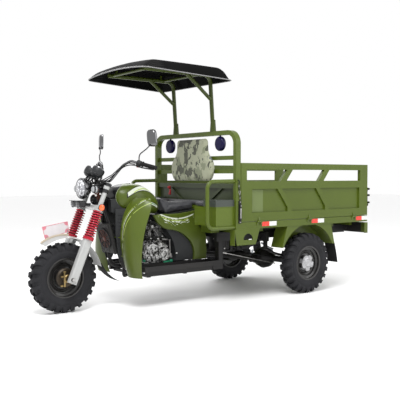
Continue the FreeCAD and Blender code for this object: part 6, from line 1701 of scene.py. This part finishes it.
class TRICYCLE_OT_underside(bpy.types.Operator):
    """Hang the battery box, reservoir, brake rods, hoses and brackets under the bed"""
    bl_idname = "tricycle.underside"
    bl_label = "Underside"

    def execute(self, context):
        box = bar("battery_box", (0.085, 1.475, 0.430), (0.255, 1.640, 0.590), 0.008)
        lid = bar("battery_lid", (0.080, 1.470, 0.585), (0.260, 1.645, 0.612), 0.006)
        ribs = [block("battery_rib", at(0.253, 1.490 + 0.024 * i, 0.445),
                      at(0.258, 1.496 + 0.024 * i, 0.575)) for i in range(6)]
        tray = bar("battery_tray", (0.075, 1.465, 0.415), (0.268, 1.650, 0.428), 0.002)
        hanger = [block("battery_hanger", at(0.262, y, 0.420), at(0.267, y + 0.024, 0.660))
                  for y in (1.500, 1.590)]
        tank = rounded(rod("reservoir", at(-0.262, 1.760, 0.500), at(-0.262, 2.000, 0.500),
                           0.055, 32), 0.012, 3)
        can = rounded(rod("filter_can", at(0.170, 1.760, 0.500), at(0.170, 1.760, 0.600),
                          0.034, 24), 0.006)
        fitted("underside_boxes", [box, lid, tray, tank, can] + ribs + hanger, "frame_black",
               "chassis")
        hoses = [hose("brake_hose", 0.007, (0.240, 1.640, 0.560), (0.270, 1.760, 0.520),
                      (0.300, 1.900, 0.440), (0.340, 2.060, 0.380), (0.380, 2.200, 0.340)),
                 hose("loom", 0.008, (0.200, 1.640, 0.600), (0.220, 1.800, 0.570),
                      (0.210, 2.000, 0.590), (0.220, 2.200, 0.560), (0.200, 2.400, 0.580)),
                 hose("drop_hose", 0.006, (0.170, 1.760, 0.500), (0.190, 1.780, 0.420),
                      (0.220, 1.860, 0.370), (0.250, 1.960, 0.360), (0.300, 2.080, 0.330))]
        fitted("underside_hoses", both_sides(hoses), "rubber", "chassis", angle=60)
        pale = hose("pale_hose", 0.009, (0.250, 2.005, 0.470), (0.250, 2.050, 0.448),
                    (0.250, 2.093, 0.423), (0.250, 2.160, 0.400))
        fitted("pale_hose", [pale], "chrome", "chassis", finish="pale_hose")
        rods = [rod("brake_rod", at(0.250, 1.500, 0.412), at(0.290, 2.150, 0.262), 0.0045, 12),
                rod("brake_rod_end", at(0.250, 1.500, 0.412), at(0.2535, 1.557, 0.399), 0.008, 12)]
        rods += bolts("hanger_bolt", [at(0.268, 1.512, 0.640), at(0.268, 1.602, 0.640),
                                      at(0.268, 1.388, 0.548), at(0.268, 1.512, 0.450)],
                      (1, 0, 0), 0.008, 0.007)
        fitted("brake_rods", both_sides(rods), "steel", "chassis")
        bits = [bar("bracket", (x, y, z), (x + 0.012, y + 0.020, z + 0.034), 0.003)
                for x, y, z in ((0.250, 1.868, 0.380), (0.250, 1.896, 0.490), (0.250, 1.792, 0.556),
                                (0.300, 2.792, 0.470))]
        fitted("underside_brackets", both_sides(bits), "chrome", "chassis", finish="pale_hose")
        return {"FINISHED"}


class TRICYCLE_OT_stage(bpy.types.Operator):
    """Set the floor, the soft studio light and the camera"""
    bl_idname = "tricycle.stage"
    bl_label = "Stage"

    def execute(self, context):
        scene = context.scene
        size = scene.tricycle_stage
        deselect()
        bpy.ops.mesh.primitive_plane_add(size=60, location=(0, 0, -0.0005))
        floor = take("floor")
        ground = Finish("Pale floor", (0.93, 0.93, 0.93), 0.6)
        ground.feed("Base Color", ground.mix(ground.noise(0.6, 2.0) * 0.3, (0.94, 0.94, 0.94),
                                             (0.90, 0.90, 0.90)))
        floor.data.materials.append(ground.material)
        world = bpy.data.worlds.new("Studio")
        scene.world = world
        world.use_nodes = True
        sky = world.node_tree.nodes["Background"]
        sky.inputs["Color"].default_value = (1.0, 1.0, 1.0, 1.0)
        sky.inputs["Strength"].default_value = 1.0
        self.lamp("key", (2.6, -2.6, 5.4), (0.1, 0.0, 0.6), 2.6, 300)
        self.lamp("fill", (4.8, 3.4, 3.0), (0.2, 0.4, 0.9), 3.5, 80)
        self.lamp("rim", (-4.2, 1.5, 4.8), (0.0, 0.0, 1.2), 3.5, 120)
        bpy.ops.object.camera_add(location=size.camera)
        camera = context.object
        camera.name = "camera"
        camera.rotation_euler = Euler((math.pi / 2 - size.pitch, 0, size.azimuth))
        camera.data.lens = size.lens
        camera.data.sensor_width = 36.0
        camera.data.clip_end = 100.0
        scene.camera = camera
        scene.view_settings.view_transform = "Standard"
        return {"FINISHED"}

    def lamp(self, name, place, aim, size, power):
        deselect()
        bpy.ops.object.light_add(type="AREA", location=place)
        light = bpy.context.object
        light.name = name
        light.data.size = size
        light.data.energy = power
        light.rotation_euler = (Vector(aim) - Vector(place)).to_track_quat("-Z", "Y").to_euler()


STEPS = (TRICYCLE_OT_finishes, TRICYCLE_OT_tyres, TRICYCLE_OT_springs, TRICYCLE_OT_seats,
         TRICYCLE_OT_roof, TRICYCLE_OT_lamps, TRICYCLE_OT_controls, TRICYCLE_OT_front_guard,
         TRICYCLE_OT_trim, TRICYCLE_OT_engine_bay, TRICYCLE_OT_underside, TRICYCLE_OT_stage)


class TRICYCLE_PT_panel(bpy.types.Panel):
    """Steps that dress the tricycle, in order"""
    bl_label = "Cargo tricycle"
    bl_idname = "TRICYCLE_PT_panel"
    bl_space_type = "VIEW_3D"
    bl_region_type = "UI"
    bl_category = "Tricycle"

    def draw(self, context):
        for step in STEPS:
            self.layout.operator(step.bl_idname)
        for group in (context.scene.tricycle_look, context.scene.tricycle_tyre,
                      context.scene.tricycle_stage):
            for key in group.bl_rna.properties.keys():
                if key not in ("rna_type", "name"):
                    self.layout.prop(group, key)


GROUPS = {"tricycle_look": TricycleLook, "tricycle_tyre": TricycleTyre,
          "tricycle_stage": TricycleStage}


def register():
    for group in GROUPS.values():
        bpy.utils.register_class(group)
    for step in STEPS + (TRICYCLE_PT_panel,):
        bpy.utils.register_class(step)
    for name, group in GROUPS.items():
        setattr(bpy.types.Scene, name, bpy.props.PointerProperty(type=group))


def unregister():
    for name in GROUPS:
        delattr(bpy.types.Scene, name)
    for step in (TRICYCLE_PT_panel,) + STEPS[::-1]:
        bpy.utils.unregister_class(step)
    for group in GROUPS.values():
        bpy.utils.unregister_class(group)


def main():
    register()
    for step in STEPS:
        family, name = step.bl_idname.split(".")
        getattr(getattr(bpy.ops, family), name)()


if __name__ == "__main__":
    main()
